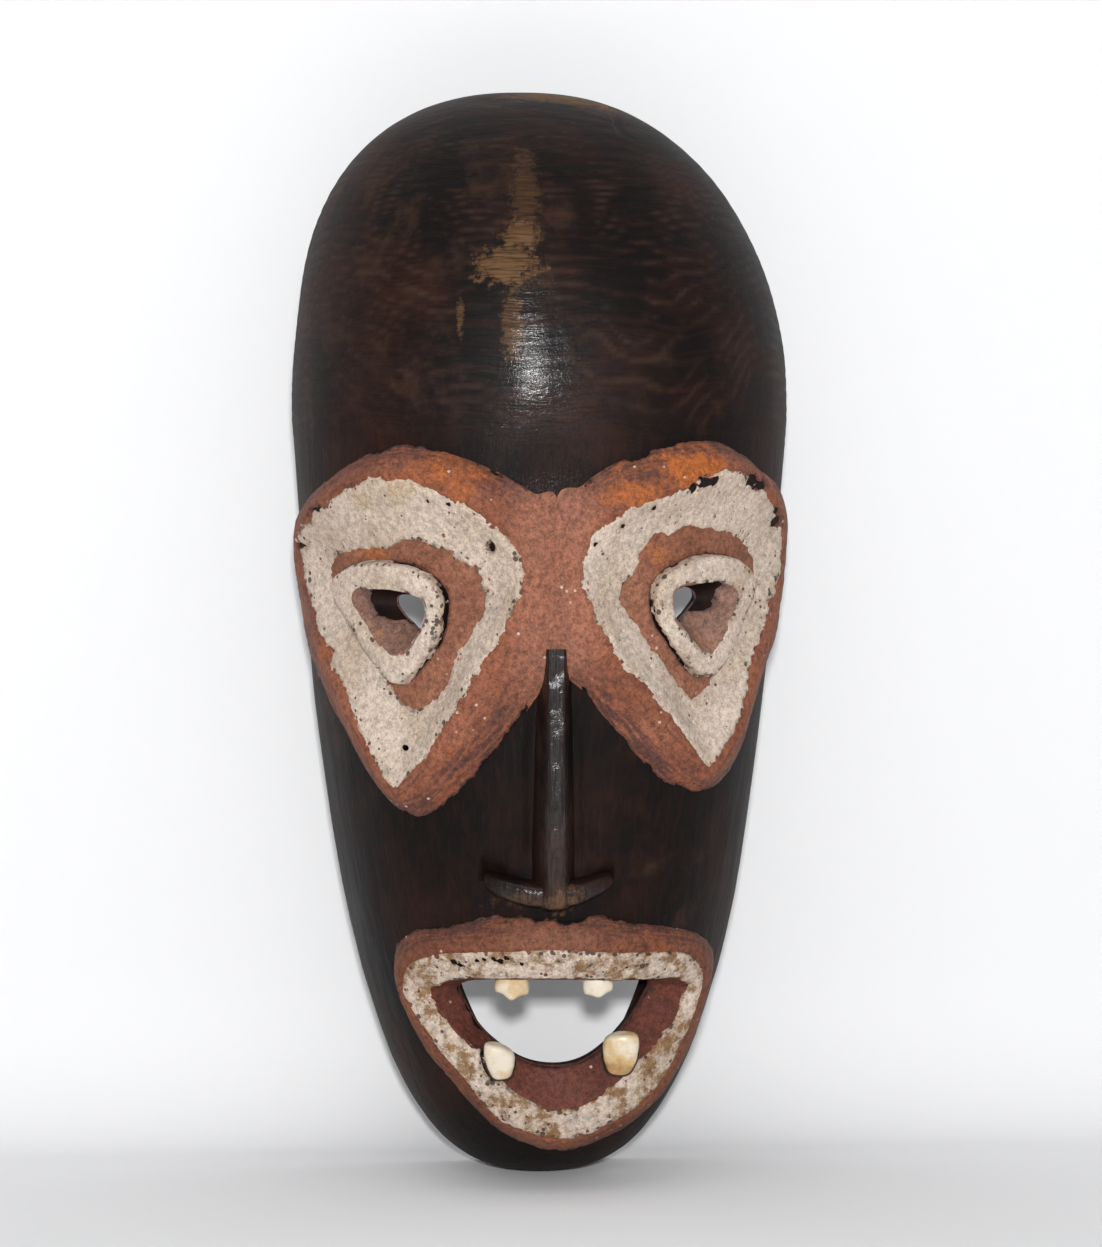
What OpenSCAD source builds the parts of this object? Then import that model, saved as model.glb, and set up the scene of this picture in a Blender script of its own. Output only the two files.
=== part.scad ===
// A carved wooden face mask: one hollowed block, clay coats round its eyes and
// mouth, and four teeth bedded in resin. Millimetres. The origin is the middle of
// the flat back rim, +Z is up, and the face looks along -Y.

/* [Block] */
// Height from chin to crown
mask_height = 380; // [320:5:460]
// Width across the temples
mask_width = 174; // [140:2:220]
// Depth from the back rim to the forehead
mask_depth = 100; // [84:1:124]
// Thickness of the hollowed wall
wall = 15; // [12:0.5:18]
// Wood left between the hollow and the crown, and the chin
end_wall = 14; // [11:0.5:18]

/* [Eyes] */
// How far the goggle round an eye stands out of the face
brow_rise = 6.5; // [4:0.5:9]
// How far the bridge over the nose stands out
bridge_rise = 6; // [4:0.5:9]
// How deep the dish inside the goggle is cut below the face
dish_sink = 2; // [1:0.5:4]
// How far the eyelid stands out of the face
lid_rise = 3.5; // [2:0.5:5]
// How deep the well of the eye runs below the face
well_sink = 7; // [5:0.5:9]

/* [Mouth] */
// How far the lips stand out of the face
lip_rise = 5.5; // [4:0.5:8]
// How deep the inner slope of the mouth runs below the face
mouth_sink = 8; // [5:0.5:10]

/* [Nose] */
// Length of the nose, from the bridge to its foot
nose_length = 85; // [70:1:102]
// Width of the nose at the bridge
nose_top_width = 8; // [6:0.5:11]
// Width of the nose at its foot
nose_foot_width = 15; // [12:0.5:19]
// How far the foot of the nose stands out of the face
nose_rise = 17; // [13:0.5:21]
// Span of the two nostril wings
nostril_span = 42; // [36:1:50]
// Thickness of a nostril wing
nostril_thickness = 8; // [6:0.5:10]

/* [Coats] */
// Thickness of the red ochre coats
ochre_coat = 0.8; // [0.5:0.1:1.2]
// Thickness of the white kaolin coats
kaolin_coat = 1.2; // [0.8:0.1:1.6]

/* [Teeth] */
// Width of an upper tooth
upper_tooth_width = 12; // [10:0.5:14]
// Width of the lower left tooth
left_tooth_width = 10.5; // [9:0.5:13]
// Width of the lower right tooth
right_tooth_width = 12.5; // [11:0.5:15]
// Thickness of a tooth
tooth_thickness = 7; // [5:0.5:9]
// Thickness of the resin round a root
resin = 0.8; // [0.5:0.1:1.2]

/* [Hidden] */

wood_colour = [0.20, 0.14, 0.13];
ochre_colour = [0.55, 0.32, 0.23];
kaolin_colour = [0.77, 0.70, 0.64];
tooth_colour = [0.88, 0.82, 0.71];
resin_colour = [0.12, 0.08, 0.06];

half_height = mask_height / 2;
half_width = mask_width / 2;
temple_z = 0.395 * half_height;    // where the mask is widest
forehead_z = 0.447 * half_height;  // where the mask is deepest
section_power = 2.25;              // 2 is an ellipse, more is squarer
crown_power = 2.35;                // how square the front view is above the temples
cheek_power = 3;                   // and below them
cheek_taper = 0.2;                 // how much the front view narrows on the way down
brow_power = 2.2;                  // how square the side view is above the forehead
chin_power = 3.3;                  // and below it
profile_taper = 0.14;              // how much the side view thins on the way down
outlines_width = 174;              // the size that the outlines below are drawn at
outlines_height = 380;
drawn_nose = 85;                   // the nose length that the mouth's outlines are drawn under
wings_curve = 4.5;                 // how far the tips of the wings turn up
wings_shift = 1.8;                 // how far the nostril wings sit left of the middle
ring_lap = 0.6;                    // how far the two goggles run into each other at the bridge
back_lap = 1.5;                    // how far a carved inset reaches past the hollow's face
buried = 5;                        // how far an inset's edge is sunk in the block
rim_trim = 0.5;                    // wood that the flat back cut takes off
plug_reach = 40;                   // how far in front of the face a cut for an inset starts
rows = 38;
columns = 28;
hollow_rows = 18;
hollow_columns = 16;

// ---- the block's surface ----

// A quarter of a rounded outline: 1 at share 0, and 0 at share 1.
function rounded(share, power) = share >= 1 ? 0 : share <= 0 ? 1 : pow(1 - pow(share, power), 1 / power);

// Half the block's width at a height, for a block that much smaller all round.
function width_at(z, inset = 0, ends = 0) =
    let (top = half_height - ends, up = (z - temple_z) / (top - temple_z), down = (temple_z - z) / (top + temple_z))
    (half_width - inset) * (z > temple_z ? rounded(up, crown_power) : (1 - cheek_taper * down) * rounded(down, cheek_power));

// The block's depth in front of the back rim at a height.
function depth_at(z, inset = 0, ends = 0) =
    let (top = half_height - ends, up = (z - forehead_z) / (top - forehead_z), down = (forehead_z - z) / (top + forehead_z))
    (mask_depth - inset) * (z > forehead_z ? rounded(up, brow_power) : (1 - profile_taper * down) * rounded(down, chin_power));

// A point of the face from its front view place, and its height off the block's surface.
function on_face(p) =
    let (
        x = p[0] * mask_width / outlines_width,
        z = p[1] * mask_height / outlines_height,
        w = width_at(z),
        d = depth_at(z),
        share = min(abs(x) / w, 0.985),
        side = x < 0 ? -1 : 1,
        front = pow(1 - pow(share, section_power), 1 / section_power),
        slope = [side * pow(share, section_power - 1) / w, -pow(front, section_power - 1) / d],
        out = slope / norm(slope)
    )
    [side * share * w + p[2] * out[0], -front * d + p[2] * out[1], z];

// A point of the hollow's face straight behind a point of the outer face.
function on_hollow(p, lap) =
    let (
        q = on_face(p),
        share = min(abs(q[0]) / width_at(q[2], wall, end_wall), 0.985),
        front = pow(1 - pow(share, section_power), 1 / section_power)
    )
    [q[0], lap - front * depth_at(q[2], wall, end_wall), q[2]];

// One level section of the block, from its left edge round the front to its right edge.
function section(z, steps, inset, ends, back) =
    let (w = width_at(z, inset, ends), d = depth_at(z, inset, ends))
    [
        [-w, back, z],
        for (i = [0 : steps]) let (a = -90 + 180 * i / steps, side = a < 0 ? -1 : 1)
            [side * w * pow(abs(sin(a)), 2 / section_power), -d * pow(cos(a), 2 / section_power), z],
        [w, back, z]
    ];

// The whole block, or its hollow: sections from the chin up, closest at the ends.
module rounded_block(inset, ends, back, row_count, column_count) {
    reach = half_height - ends;
    solid_loft([
        for (i = [0 : row_count]) let (turn = 4 + 172 * i / row_count)
            section(-reach * cos(turn), column_count, inset, ends, back)
    ]);
}

// ---- lofts ----

// A solid through sections of equal count, each anticlockwise as seen from the last one.
module solid_loft(sections) {
    n = len(sections[0]);
    last = (len(sections) - 1) * n;
    sides = [
        for (i = [0 : len(sections) - 2], j = [0 : n - 1]) let (a = i * n + j, b = i * n + (j + 1) % n)
            each [[a, b + n, b], [a, a + n, b + n]]
    ];
    ends = [for (j = [1 : n - 2]) each [[0, j, j + 1], [last, last + j + 1, last + j]]];
    polyhedron([for (s = sections) each s], concat(sides, ends));
}

// A closed band through loops of equal count, each anticlockwise from the front.
module ring_loft(loops) {
    n = len(loops[0]);
    total = n * len(loops);
    faces = [
        for (k = [0 : len(loops) - 1], j = [0 : n - 1])
            let (a = k * n + j, b = k * n + (j + 1) % n, c = (b + n) % total, d = (a + n) % total)
            each [[a, d, c], [a, c, b]]
    ];
    polyhedron([for (s = loops) each s], faces);
}

// A smooth closed loop through points, with one more point in each span.
function smooth_loop(p) =
    let (n = len(p))
    [for (i = [0 : n - 1]) each [p[i], (9 * (p[i] + p[(i + 1) % n]) - p[(i + n - 1) % n] - p[(i + 2) % n]) / 16]];

// The same loop turned the other way, so that a mirrored outline is still anticlockwise.
function turned(p) = [for (i = [len(p) - 1 : -1 : 0]) p[i]];

// Moves a loop's points off the face, or to a share of the way between two loops.
function lifted(loop, by) = [for (p = loop) [p[0], p[1], p[2] + by]];
function set_at(loop, height) = [for (p = loop) [p[0], p[1], height]];
function between(outer, inner, share) = outer * (1 - share) + inner * share;
function placed(loop) = [for (p = loop) on_face(p)];

// A coat of one thickness over the face between the outermost and the innermost loop.
module coat(loops, thickness) {
    ring_loft(concat(
        [for (loop = loops) placed(lifted(loop, thickness))],
        [for (i = [len(loops) - 1 : -1 : 0]) placed(loops[i])]
    ));
}

// ---- outlines on the face, as [across, up], each starting at the nose and going up ----

left_foot = [
    [0, 2], [0, 44], [-12, 56], [-28, 63], [-47, 68], [-66, 62], [-78, 52], [-85, 39],
    [-85.5, 24], [-84, 5], [-77, -16], [-66, -36], [-52, -53], [-40, -55], [-26, -41], [-9, -18]
];
left_crest = [
    [-14, 15], [-9, 27], [-17, 42], [-32, 53], [-46, 58], [-62, 56], [-74, 46], [-81, 36],
    [-79, 22], [-75, 8], [-70, -6], [-61, -25], [-51, -43], [-45, -44], [-33, -26], [-21, -4]
];
left_dish = [
    [-25, 12], [-23, 21], [-28, 28], [-39, 35], [-50, 36], [-61, 33], [-69, 33], [-75, 26],
    [-74, 17], [-69, 8], [-64, -1], [-58, -10], [-51, -19], [-45, -19], [-37, -12], [-30, 3]
];
left_lid = [
    [-36, 12], [-36, 19], [-41, 25], [-47, 28], [-53, 29], [-60, 28.5], [-66, 27], [-70, 22],
    [-70, 15], [-66, 7], [-61, -1], [-56, -7], [-52, -11], [-48, -10], [-43, -4], [-38, 4]
];
left_well = [
    [-41, 12], [-41.5, 17], [-45, 19], [-49, 19.5], [-53, 20], [-57, 20.5], [-61, 20], [-63, 18],
    [-61, 13], [-58, 8], [-56, 4], [-53.5, 0], [-51, -2], [-48.5, -0.5], [-45, 3.5], [-42, 8]
];
left_hole = [
    [-43, 12], [-43, 16], [-45.5, 18], [-48, 18], [-50.5, 18], [-53, 18], [-55, 17], [-56, 15],
    [-55.5, 13], [-54, 11], [-52, 9], [-50, 7.5], [-48.5, 6.5], [-47, 6], [-45.5, 7], [-44, 9]
];

right_foot = [
    [0, 2], [0, 44], [10, 57], [25, 64], [45, 69], [63, 64], [77, 55], [85, 42],
    [85.5, 26], [83, 5], [76, -10], [68, -29], [60, -44], [50, -49], [30, -38], [11, -14]
];
right_crest = [
    [12, 12], [7, 30], [13, 41], [28, 51], [45, 57], [58, 61], [70, 51], [77, 38],
    [77, 26], [73, 8], [67, -8], [61, -25], [52, -39], [46, -37], [33, -20], [19, -3]
];
right_dish = [
    [23, 15], [24, 24], [31, 34], [37, 39], [48, 41], [60, 38], [68, 34], [71, 28],
    [71.5, 21], [69, 11], [65, 2], [60, -7], [54, -14], [46, -14], [38, -4], [30, 6]
];
right_lid = [
    [33, 14], [33, 21], [37, 26], [44, 29], [51, 31], [58, 31], [64, 28], [67, 24],
    [67, 18], [64.5, 11], [61, 4], [57, -3], [53, -9], [47.5, -8], [42, -1], [36, 7]
];
right_well = [
    [38, 15], [38, 19], [41, 22], [46, 22], [50, 22], [55, 22], [59.5, 20.5], [60.5, 17.5],
    [59.5, 13.5], [58, 9.5], [56, 6], [54, 1.5], [50.5, -1], [47, 0], [44, 4], [40.5, 9]
];
right_hole = [
    [39.5, 14.5], [40, 18], [42, 20], [45, 20.5], [48, 20.5], [50.5, 20], [52.5, 18.5], [53, 16.5],
    [52, 14.5], [50.5, 12.5], [49, 11], [47, 9.5], [45.5, 8.5], [44, 8.5], [42.5, 9.5], [40.5, 11.5]
];

lip_foot = [
    [57, -118], [57, -107], [50, -99], [34, -93], [16, -90.5], [0, -91.5], [-16, -90], [-34, -93], [-47, -98],
    [-52, -106], [-50, -120], [-42, -137], [-31, -152], [-15, -169], [4, -176], [24, -170], [40, -158], [51, -140]
];
lip_crest = [
    [48, -116], [47.5, -109], [43, -104], [30, -102], [14, -101], [0, -100.5], [-14, -100.5], [-28, -101.5],
    [-39, -104], [-45, -110], [-45, -119], [-37, -134], [-27, -147], [-14, -163], [4, -170], [20, -164],
    [34, -153], [43, -134]
];
lip_inner = [
    [44.5, -119], [44, -116], [41, -113], [30, -112], [14, -111], [0, -110.5], [-14, -110.5], [-28, -111],
    [-36, -113.5], [-40, -116], [-38, -120], [-31, -131], [-22, -140], [-11, -152], [4, -159], [16, -154],
    [27, -145], [38, -133]
];
mouth_hole = [
    [39, -120], [39.5, -117], [37, -114.5], [28, -113.5], [14, -113], [0, -112.5], [-14, -112.5], [-26, -113],
    [-33, -114.5], [-35.5, -117], [-33, -122], [-28, -130], [-20, -137], [-9, -143], [3, -145], [14, -143],
    [24, -137], [33, -128]
];

// ---- what is carved inside each outline ----

// The loops of an eye, from the goggle's foot inwards, each with its height off the face.
function eye_loops(foot, crest, dish, lid, well, hole, side) =
    let (
        foot_rise = [for (i = [0 : 15]) i < 2 ? bridge_rise : i == 2 || i == 15 ? bridge_rise / 2 : 0],
        rims = [for (i = [0 : 15]) [foot[i][0], foot[i][1], foot_rise[i]]],
        tops = [for (i = [0 : 15]) [crest[i][0], crest[i][1], brow_rise * (1 + 0.4 * cos(22.5 * i))]],
        met = [for (p = smooth_loop(rims)) [side * max(side * p[0], -ring_lap), p[1], p[2]]],
        flat = [for (loop = [dish, lid, well, hole]) smooth_loop([for (p = loop) [p[0], p[1], 0]])],
        all = [
            met,
            smooth_loop(tops),
            set_at(flat[0], -dish_sink),
            set_at(flat[1], -dish_sink),
            set_at(between(flat[1], flat[2], 0.3), lid_rise),
            set_at(flat[2], lid_rise - 0.5),
            set_at(flat[3], -well_sink)
        ]
    )
    side < 0 ? all : [for (loop = all) turned(loop)];

left_eye = eye_loops(left_foot, left_crest, left_dish, left_lid, left_well, left_hole, -1);
right_eye = eye_loops(right_foot, right_crest, right_dish, right_lid, right_well, right_hole, 1);

// Where a drawn height of the mouth sits, kept between the nose's foot and the chin.
function mouth_z(z) =
    let (chin = -outlines_height / 2, foot = -nose_length * outlines_height / mask_height)
    chin + (z - chin) * (foot - chin) / (-drawn_nose - chin);

// The loops of the mouth, from the lips' foot inwards.
function flat_loop(outline, height) = smooth_loop([for (p = outline) [p[0], mouth_z(p[1]), height]]);
mouth = [
    flat_loop(lip_foot, 0), flat_loop(lip_crest, lip_rise), flat_loop(lip_inner, lip_rise / 3),
    flat_loop(mouth_hole, -mouth_sink)
];

// The carved wood between an outline's foot and its hole, which runs straight back.
module inset(loops) {
    hole = loops[len(loops) - 1];
    inner_face = -wall - back_lap;
    ring_loft(concat(
        [placed(lifted(loops[0], -buried))],
        [for (loop = loops) placed(loop)],
        [
            [for (p = hole) on_hollow(p, back_lap)],
            placed(set_at(between(hole, loops[1], 0.5), inner_face)),
            placed(set_at(loops[1], inner_face))
        ]
    ));
}

// What comes out of the block before an inset goes in: a plug through the wall.
module plug(loops) {
    outline = between(loops[1], loops[2], 0.2);
    solid_loft([for (height = [-2 * wall, -wall, 0, plug_reach]) placed(set_at(outline, height))]);
}

// The straight ridge of the nose, from its foot up to the bridge.
module nose_ridge() {
    steps = 8;
    foot_z = -nose_length * outlines_height / mask_height;
    solid_loft([
        for (i = [0 : steps]) let (
            share = i / steps,
            z = foot_z * (1 - share) * mask_height / outlines_height,
            half = (nose_foot_width * (1 - share) + nose_top_width * share) / 2,
            rise = nose_rise * (1 - share) + (bridge_rise + ochre_coat) * share,
            d = depth_at(z)
        )
        [
            for (j = [0 : 10]) let (a = -90 + 18 * j, side = a < 0 ? -1 : 1)
                [side * half * pow(abs(sin(a)), 0.7), buried - d - (rise + buried) * pow(cos(a), 0.5), z]
        ]
    ]);
}

// The two nostril wings: one crescent across the foot of the nose, its ends turned up.
module nostril_wings() {
    steps = 10;
    solid_loft([
        for (i = [0 : steps]) let (
            share = 2 * i / steps - 1,
            x = share * nostril_span / 2 - wings_shift,
            z = -nose_length + nostril_thickness / 2 + wings_curve * share * share,
            half = nostril_thickness / 2 * (1 - 0.35 * pow(abs(share), 3)),
            rise = nose_rise * (0.72 - 0.32 * share * share),
            back = on_face([x * outlines_width / mask_width, z * outlines_height / mask_height, -buried])[1]
        )
        [
            for (j = [0 : 9]) let (a = -36 * j, up = sin(a) < 0 ? -1 : 1, out = cos(a) < 0 ? -1 : 1)
                [x, back - (rise + buried) / 2 * (1 + out * pow(abs(cos(a)), 0.5)), z + up * half * pow(abs(sin(a)), 0.6)]
        ]
    ]);
}

// ---- teeth ----

// Each tooth: its place on the face as [across, up, off the face], its turns, its width,
// the length of its crown and that of its root.
upper_left = [[-14, -111, -6], [180, 4, 0], upper_tooth_width, 7, 7];
upper_right = [[17.3, -111, -6], [180, -3, 0], upper_tooth_width, 7, 7];
lower_left = [[-16.5, -143, 1], [12, -6, 0], left_tooth_width, 8, 7];
lower_right = [[23.3, -141.5, 1.5], [12, 3, 0], right_tooth_width, 10, 7];
teeth = [upper_left, upper_right, lower_left, lower_right];

// How wide a tooth is along its length: a root tip, a neck, a full crown and a rounded edge.
tooth_profile = [[-1, 0.45], [-0.6, 0.62], [0, 0.8], [0.45, 1], [0.85, 0.96], [1, 0.7]];

// A tooth, or with a margin the socket that it sits in, up to a share of its crown.
module tooth_shape(tooth, margin = 0, crown_share = 1) {
    stations = [for (s = tooth_profile) if (s[0] <= crown_share) s];
    translate(on_face([tooth[0][0], mouth_z(tooth[0][1]), tooth[0][2]])) rotate(tooth[1])
        solid_loft([
            for (s = stations) let (
                z = s[0] < 0 ? s[0] * tooth[4] : s[0] * tooth[3],
                end = s[0] == -1 ? -margin : s[0] == 1 ? margin : 0,
                a = tooth[2] / 2 * s[1] + margin,
                b = tooth_thickness / 2 * (0.35 + 0.65 * s[1]) + margin
            )
            [
                for (j = [0 : 11]) let (t = 30 * j, side = cos(t) < 0 ? -1 : 1, front = sin(t) < 0 ? -1 : 1)
                    [side * a * pow(abs(cos(t)), 0.75), front * b * pow(abs(sin(t)), 0.75), z + end]
            ]
        ]);
}

module sockets() {
    for (tooth = teeth) tooth_shape(tooth, resin);
}

module tooth(which) {
    color(tooth_colour) tooth_shape(which);
}

module tooth_resin(which) {
    color(resin_colour) difference() {
        tooth_shape(which, resin, 0.45);
        tooth_shape(which);
    }
}

// ---- the parts ----

module carved_block() {
    difference() {
        union() {
            difference() {
                rounded_block(0, 0, rim_trim, rows, columns);
                rounded_block(wall, end_wall, rim_trim + buried, hollow_rows, hollow_columns);
                plug(left_eye);
                plug(right_eye);
                plug(mouth);
            }
            inset(left_eye);
            inset(right_eye);
            inset(mouth);
            nose_ridge();
            nostril_wings();
        }
        sockets();
    }
}

module mask_body() {
    color(wood_colour) difference() {
        resize([0, 0, mask_height]) carved_block();
        translate([-mask_width, 0, -mask_height]) cube([2 * mask_width, mask_depth, 2 * mask_height]);
    }
}

module brow_ochre() {
    color(ochre_colour) union() {
        coat([left_eye[0], left_eye[1]], ochre_coat);
        coat([right_eye[0], right_eye[1]], ochre_coat);
    }
}

module kaolin_band(eye) {
    color(kaolin_colour) coat([eye[1], eye[2]], kaolin_coat);
}

module ochre_dish(eye) {
    color(ochre_colour) coat([eye[2], eye[3]], ochre_coat);
}

module kaolin_lid(eye) {
    color(kaolin_colour) coat([eye[3], eye[4], eye[5]], kaolin_coat);
}

module ochre_well(eye) {
    color(ochre_colour) coat([eye[5], eye[6]], ochre_coat);
}

module lip_ochre() {
    color(ochre_colour) coat([mouth[0], mouth[1]], ochre_coat);
}

module lip_kaolin() {
    color(kaolin_colour) difference() {
        coat([mouth[1], mouth[2]], kaolin_coat);
        sockets();
    }
}

module mouth_ochre() {
    color(ochre_colour) difference() {
        coat([mouth[2], mouth[3]], ochre_coat);
        sockets();
    }
}

mask_body();
brow_ochre();
kaolin_band(left_eye);  // left_kaolin_band
kaolin_band(right_eye);  // right_kaolin_band
ochre_dish(left_eye);  // left_ochre_dish
ochre_dish(right_eye);  // right_ochre_dish
kaolin_lid(left_eye);  // left_kaolin_lid
kaolin_lid(right_eye);  // right_kaolin_lid
ochre_well(left_eye);  // left_ochre_well
ochre_well(right_eye);  // right_ochre_well
lip_ochre();
lip_kaolin();
mouth_ochre();
tooth(upper_left);  // upper_left_tooth
tooth(upper_right);  // upper_right_tooth
tooth(lower_left);  // lower_left_tooth
tooth(lower_right);  // lower_right_tooth
tooth_resin(upper_left);  // upper_left_resin
tooth_resin(upper_right);  // upper_right_resin
tooth_resin(lower_left);  // lower_left_resin
tooth_resin(lower_right);  // lower_right_resin
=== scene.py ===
import math

import bpy
import numpy as np
from mathutils import Matrix, Vector


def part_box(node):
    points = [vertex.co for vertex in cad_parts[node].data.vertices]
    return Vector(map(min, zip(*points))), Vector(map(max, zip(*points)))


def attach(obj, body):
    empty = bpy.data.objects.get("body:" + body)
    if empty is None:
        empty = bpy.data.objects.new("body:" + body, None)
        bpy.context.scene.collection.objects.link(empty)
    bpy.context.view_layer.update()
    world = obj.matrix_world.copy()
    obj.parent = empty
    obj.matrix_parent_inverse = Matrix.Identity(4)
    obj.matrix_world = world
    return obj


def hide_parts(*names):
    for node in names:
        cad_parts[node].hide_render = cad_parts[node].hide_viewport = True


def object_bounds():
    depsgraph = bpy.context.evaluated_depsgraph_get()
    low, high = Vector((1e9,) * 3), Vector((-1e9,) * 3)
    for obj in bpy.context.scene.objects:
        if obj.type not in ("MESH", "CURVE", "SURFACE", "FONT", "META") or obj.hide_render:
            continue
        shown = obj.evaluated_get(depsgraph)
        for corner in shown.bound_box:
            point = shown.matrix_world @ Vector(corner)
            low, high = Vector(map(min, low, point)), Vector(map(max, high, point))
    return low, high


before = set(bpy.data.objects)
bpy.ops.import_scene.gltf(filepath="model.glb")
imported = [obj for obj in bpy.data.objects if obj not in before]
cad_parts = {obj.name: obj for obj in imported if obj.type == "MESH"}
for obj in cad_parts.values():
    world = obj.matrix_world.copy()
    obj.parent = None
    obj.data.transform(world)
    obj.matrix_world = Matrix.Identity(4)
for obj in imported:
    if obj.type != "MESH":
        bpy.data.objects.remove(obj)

# A carved wooden mask: dark wood, clay coats and bedded teeth. Lengths are in millimetres
# until a mesh is made, x is across, z is up, and the face looks along -y.
mm = 0.001
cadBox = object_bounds()
scene = bpy.context.scene

stageSettings = {
    "azimuth": -3.5, "elevation": 4.0, "distance": 1250, "aim": (2.1, -40, 5.7), "lens": 104.6,
    "floor": (-1400, 1600), "wallY": 62, "sweepRadius": 48, "wallTop": 1500, "sweepSteps": 16,
    "paper": (0.84, 0.84, 0.845), "sky": (0.97, 0.985, 1.0), "skyStrength": 0.45,
}
lightSettings = [
    {"name": "keyLight", "at": (-70, -1330, 178), "size": 46, "power": 11.8},
    {"name": "topLight", "at": (-150, -600, 1200), "size": 700, "power": 2.2},
    {"name": "rearLight", "at": (250, 1200, 700), "size": 900, "power": 8},
]


def aimAt(thing, target):
    # turns a thing's -z axis to the target, and keeps its y axis up
    thing.rotation_euler = (Vector(target) - thing.location).to_track_quat("-Z", "Y").to_euler()


def makeCamera(s):
    # on a sphere round the aim, at the azimuth from -y and the elevation
    azimuth, elevation = math.radians(s["azimuth"]), math.radians(s["elevation"])
    back = Vector((math.sin(azimuth) * math.cos(elevation), -math.cos(azimuth) * math.cos(elevation),
                   math.sin(elevation)))
    aim = Vector(s["aim"]) * mm
    camera = bpy.data.objects.new("camera", bpy.data.cameras.new("camera"))
    scene.collection.objects.link(camera)
    camera.location = aim + back * s["distance"] * mm
    aimAt(camera, aim)
    camera.data.lens = s["lens"]
    scene.camera = camera


def makeLights(lights):
    # square lamps, all turned to the face
    for s in lights:
        lamp = bpy.data.lights.new(s["name"], "AREA")
        lamp.size, lamp.energy = s["size"] * mm, s["power"]
        thing = bpy.data.objects.new(s["name"], lamp)
        scene.collection.objects.link(thing)
        thing.location = Vector(s["at"]) * mm
        aimAt(thing, (0, -0.05, 0))


makeCamera(stageSettings)
makeLights(lightSettings)
scene.view_settings.view_transform = "Standard"

def hashed(cells, seed):
    # one number from 0 to 1 for each lattice cell: its three whole coordinates mixed bit by bit
    n = cells[..., 0] * 73856093 ^ cells[..., 1] * 19349663 ^ cells[..., 2] * 83492791 ^ seed * 2654435
    n = (n ^ n >> 13) * 1274126177 & 0xFFFFFFFF
    n = (n ^ n >> 15) * 668265263 & 0xFFFFFFFF
    return (n ^ n >> 16) / 0xFFFFFFFF


def noise(points, size, seed):
    # smooth noise from -1 to 1: the eight corners of a point's cell, mixed by its eased place in the cell
    p = points / size
    cell = np.floor(p).astype(np.int64)
    f = p - cell
    f = f * f * (3 - 2 * f)
    total = 0
    for corner in np.ndindex(2, 2, 2):
        weight = np.prod(np.where(corner, f, 1 - f), axis=-1)
        total = total + weight * hashed(cell + np.array(corner), seed)
    return 2 * total - 1


def roughness(points, size, layers, seed):
    # layers of noise, each half the size and 0.55 of the strength of the one before
    return sum(0.55 ** k * noise(points, size / 2 ** k, seed + k) for k in range(layers))


def nearestDot(points, size, seed):
    # distance to the nearest of one dot placed at random in every cell, in cells, and that dot's own number
    p = points / size
    cell = np.floor(p).astype(np.int64)
    best = np.full(p.shape[:-1], 9.0)
    mark = np.zeros(p.shape[:-1])
    for step in np.ndindex(3, 3, 3):
        near = cell + np.array(step) - 1
        dot = near + np.stack([hashed(near, seed + k) for k in range(3)], -1)
        away = np.linalg.norm(p - dot, axis=-1)
        mark = np.where(away < best, hashed(near, seed + 7), mark)
        best = np.minimum(best, away)
    return best, mark


def eased(value, low, high):
    # 0 below low, 1 above high, and a smooth step between
    t = np.clip((value - low) / (high - low), 0, 1)
    return t * t * (3 - 2 * t)


low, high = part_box("mask_body")
block = {
    "halfHeight": (high.z - low.z) / 2 / mm, "halfWidth": (high.x - low.x) / 2 / mm + 0.05, "depth": 100,
    "wall": 15, "endWall": 14, "power": 2.25, "lean": 6.5,
    # the widest level's share of the height, how square the outline is above and below it, and its taper
    "frontView": (0.395, 2.35, 3, 0.2), "sideView": (0.447, 2.2, 3.3, 0.14),
}


def endShare(z, ends, widestShare, topPower, chinPower, taper):
    # 1 at the widest level, falling to 0 at the crown and at the chin on two superellipse quarters, with a
    # straight taper on the way down
    top = block["halfHeight"] - ends
    widest = widestShare * block["halfHeight"]
    up = np.clip((z - widest) / (top - widest), 0, 1)
    down = np.clip((widest - z) / (top + widest), 0, 1)
    below = (1 - taper * down) * (1 - down ** chinPower) ** (1 / chinPower)
    return np.where(down > 0, below, (1 - up ** topPower) ** (1 / topPower))


def widthAt(z, inset=0, ends=0):
    # half the block's width at a height, for a block that much smaller all round
    return (block["halfWidth"] - inset) * endShare(z, ends, *block["frontView"])


def depthAt(z, inset=0, ends=0):
    # the block's depth in front of its flat back at a height
    return (block["depth"] - inset) * endShare(z, ends, *block["sideView"])


def onFace(x, z, lift):
    # the point of the block in front of (x, z), moved by lift along the level outward direction
    n = block["power"]
    w, d = np.maximum(widthAt(z), 1e-3), np.maximum(depthAt(z), 1e-3)
    share = np.clip(np.abs(x) / w, 0, 0.985)
    front = (1 - share ** n) ** (1 / n)
    across = np.sign(x) * share ** (n - 1) / w
    forward = -front ** (n - 1) / d
    length = np.hypot(across, forward)
    return np.stack([np.sign(x) * share * w + lift * across / length, -front * d + lift * forward / length,
                     z + 0 * x], -1)


def normalsOf(points):
    # the surface direction at each grid point, across its rows and its closed columns, turned to the front
    along = np.gradient(points, axis=0)
    around = np.roll(points, -1, 1) - np.roll(points, 1, 1)
    n = np.cross(along, around)
    n /= np.maximum(np.linalg.norm(n, axis=-1, keepdims=True), 1e-9)
    return n * np.where(n[..., 1:2] > 0, -1, 1)


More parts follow.
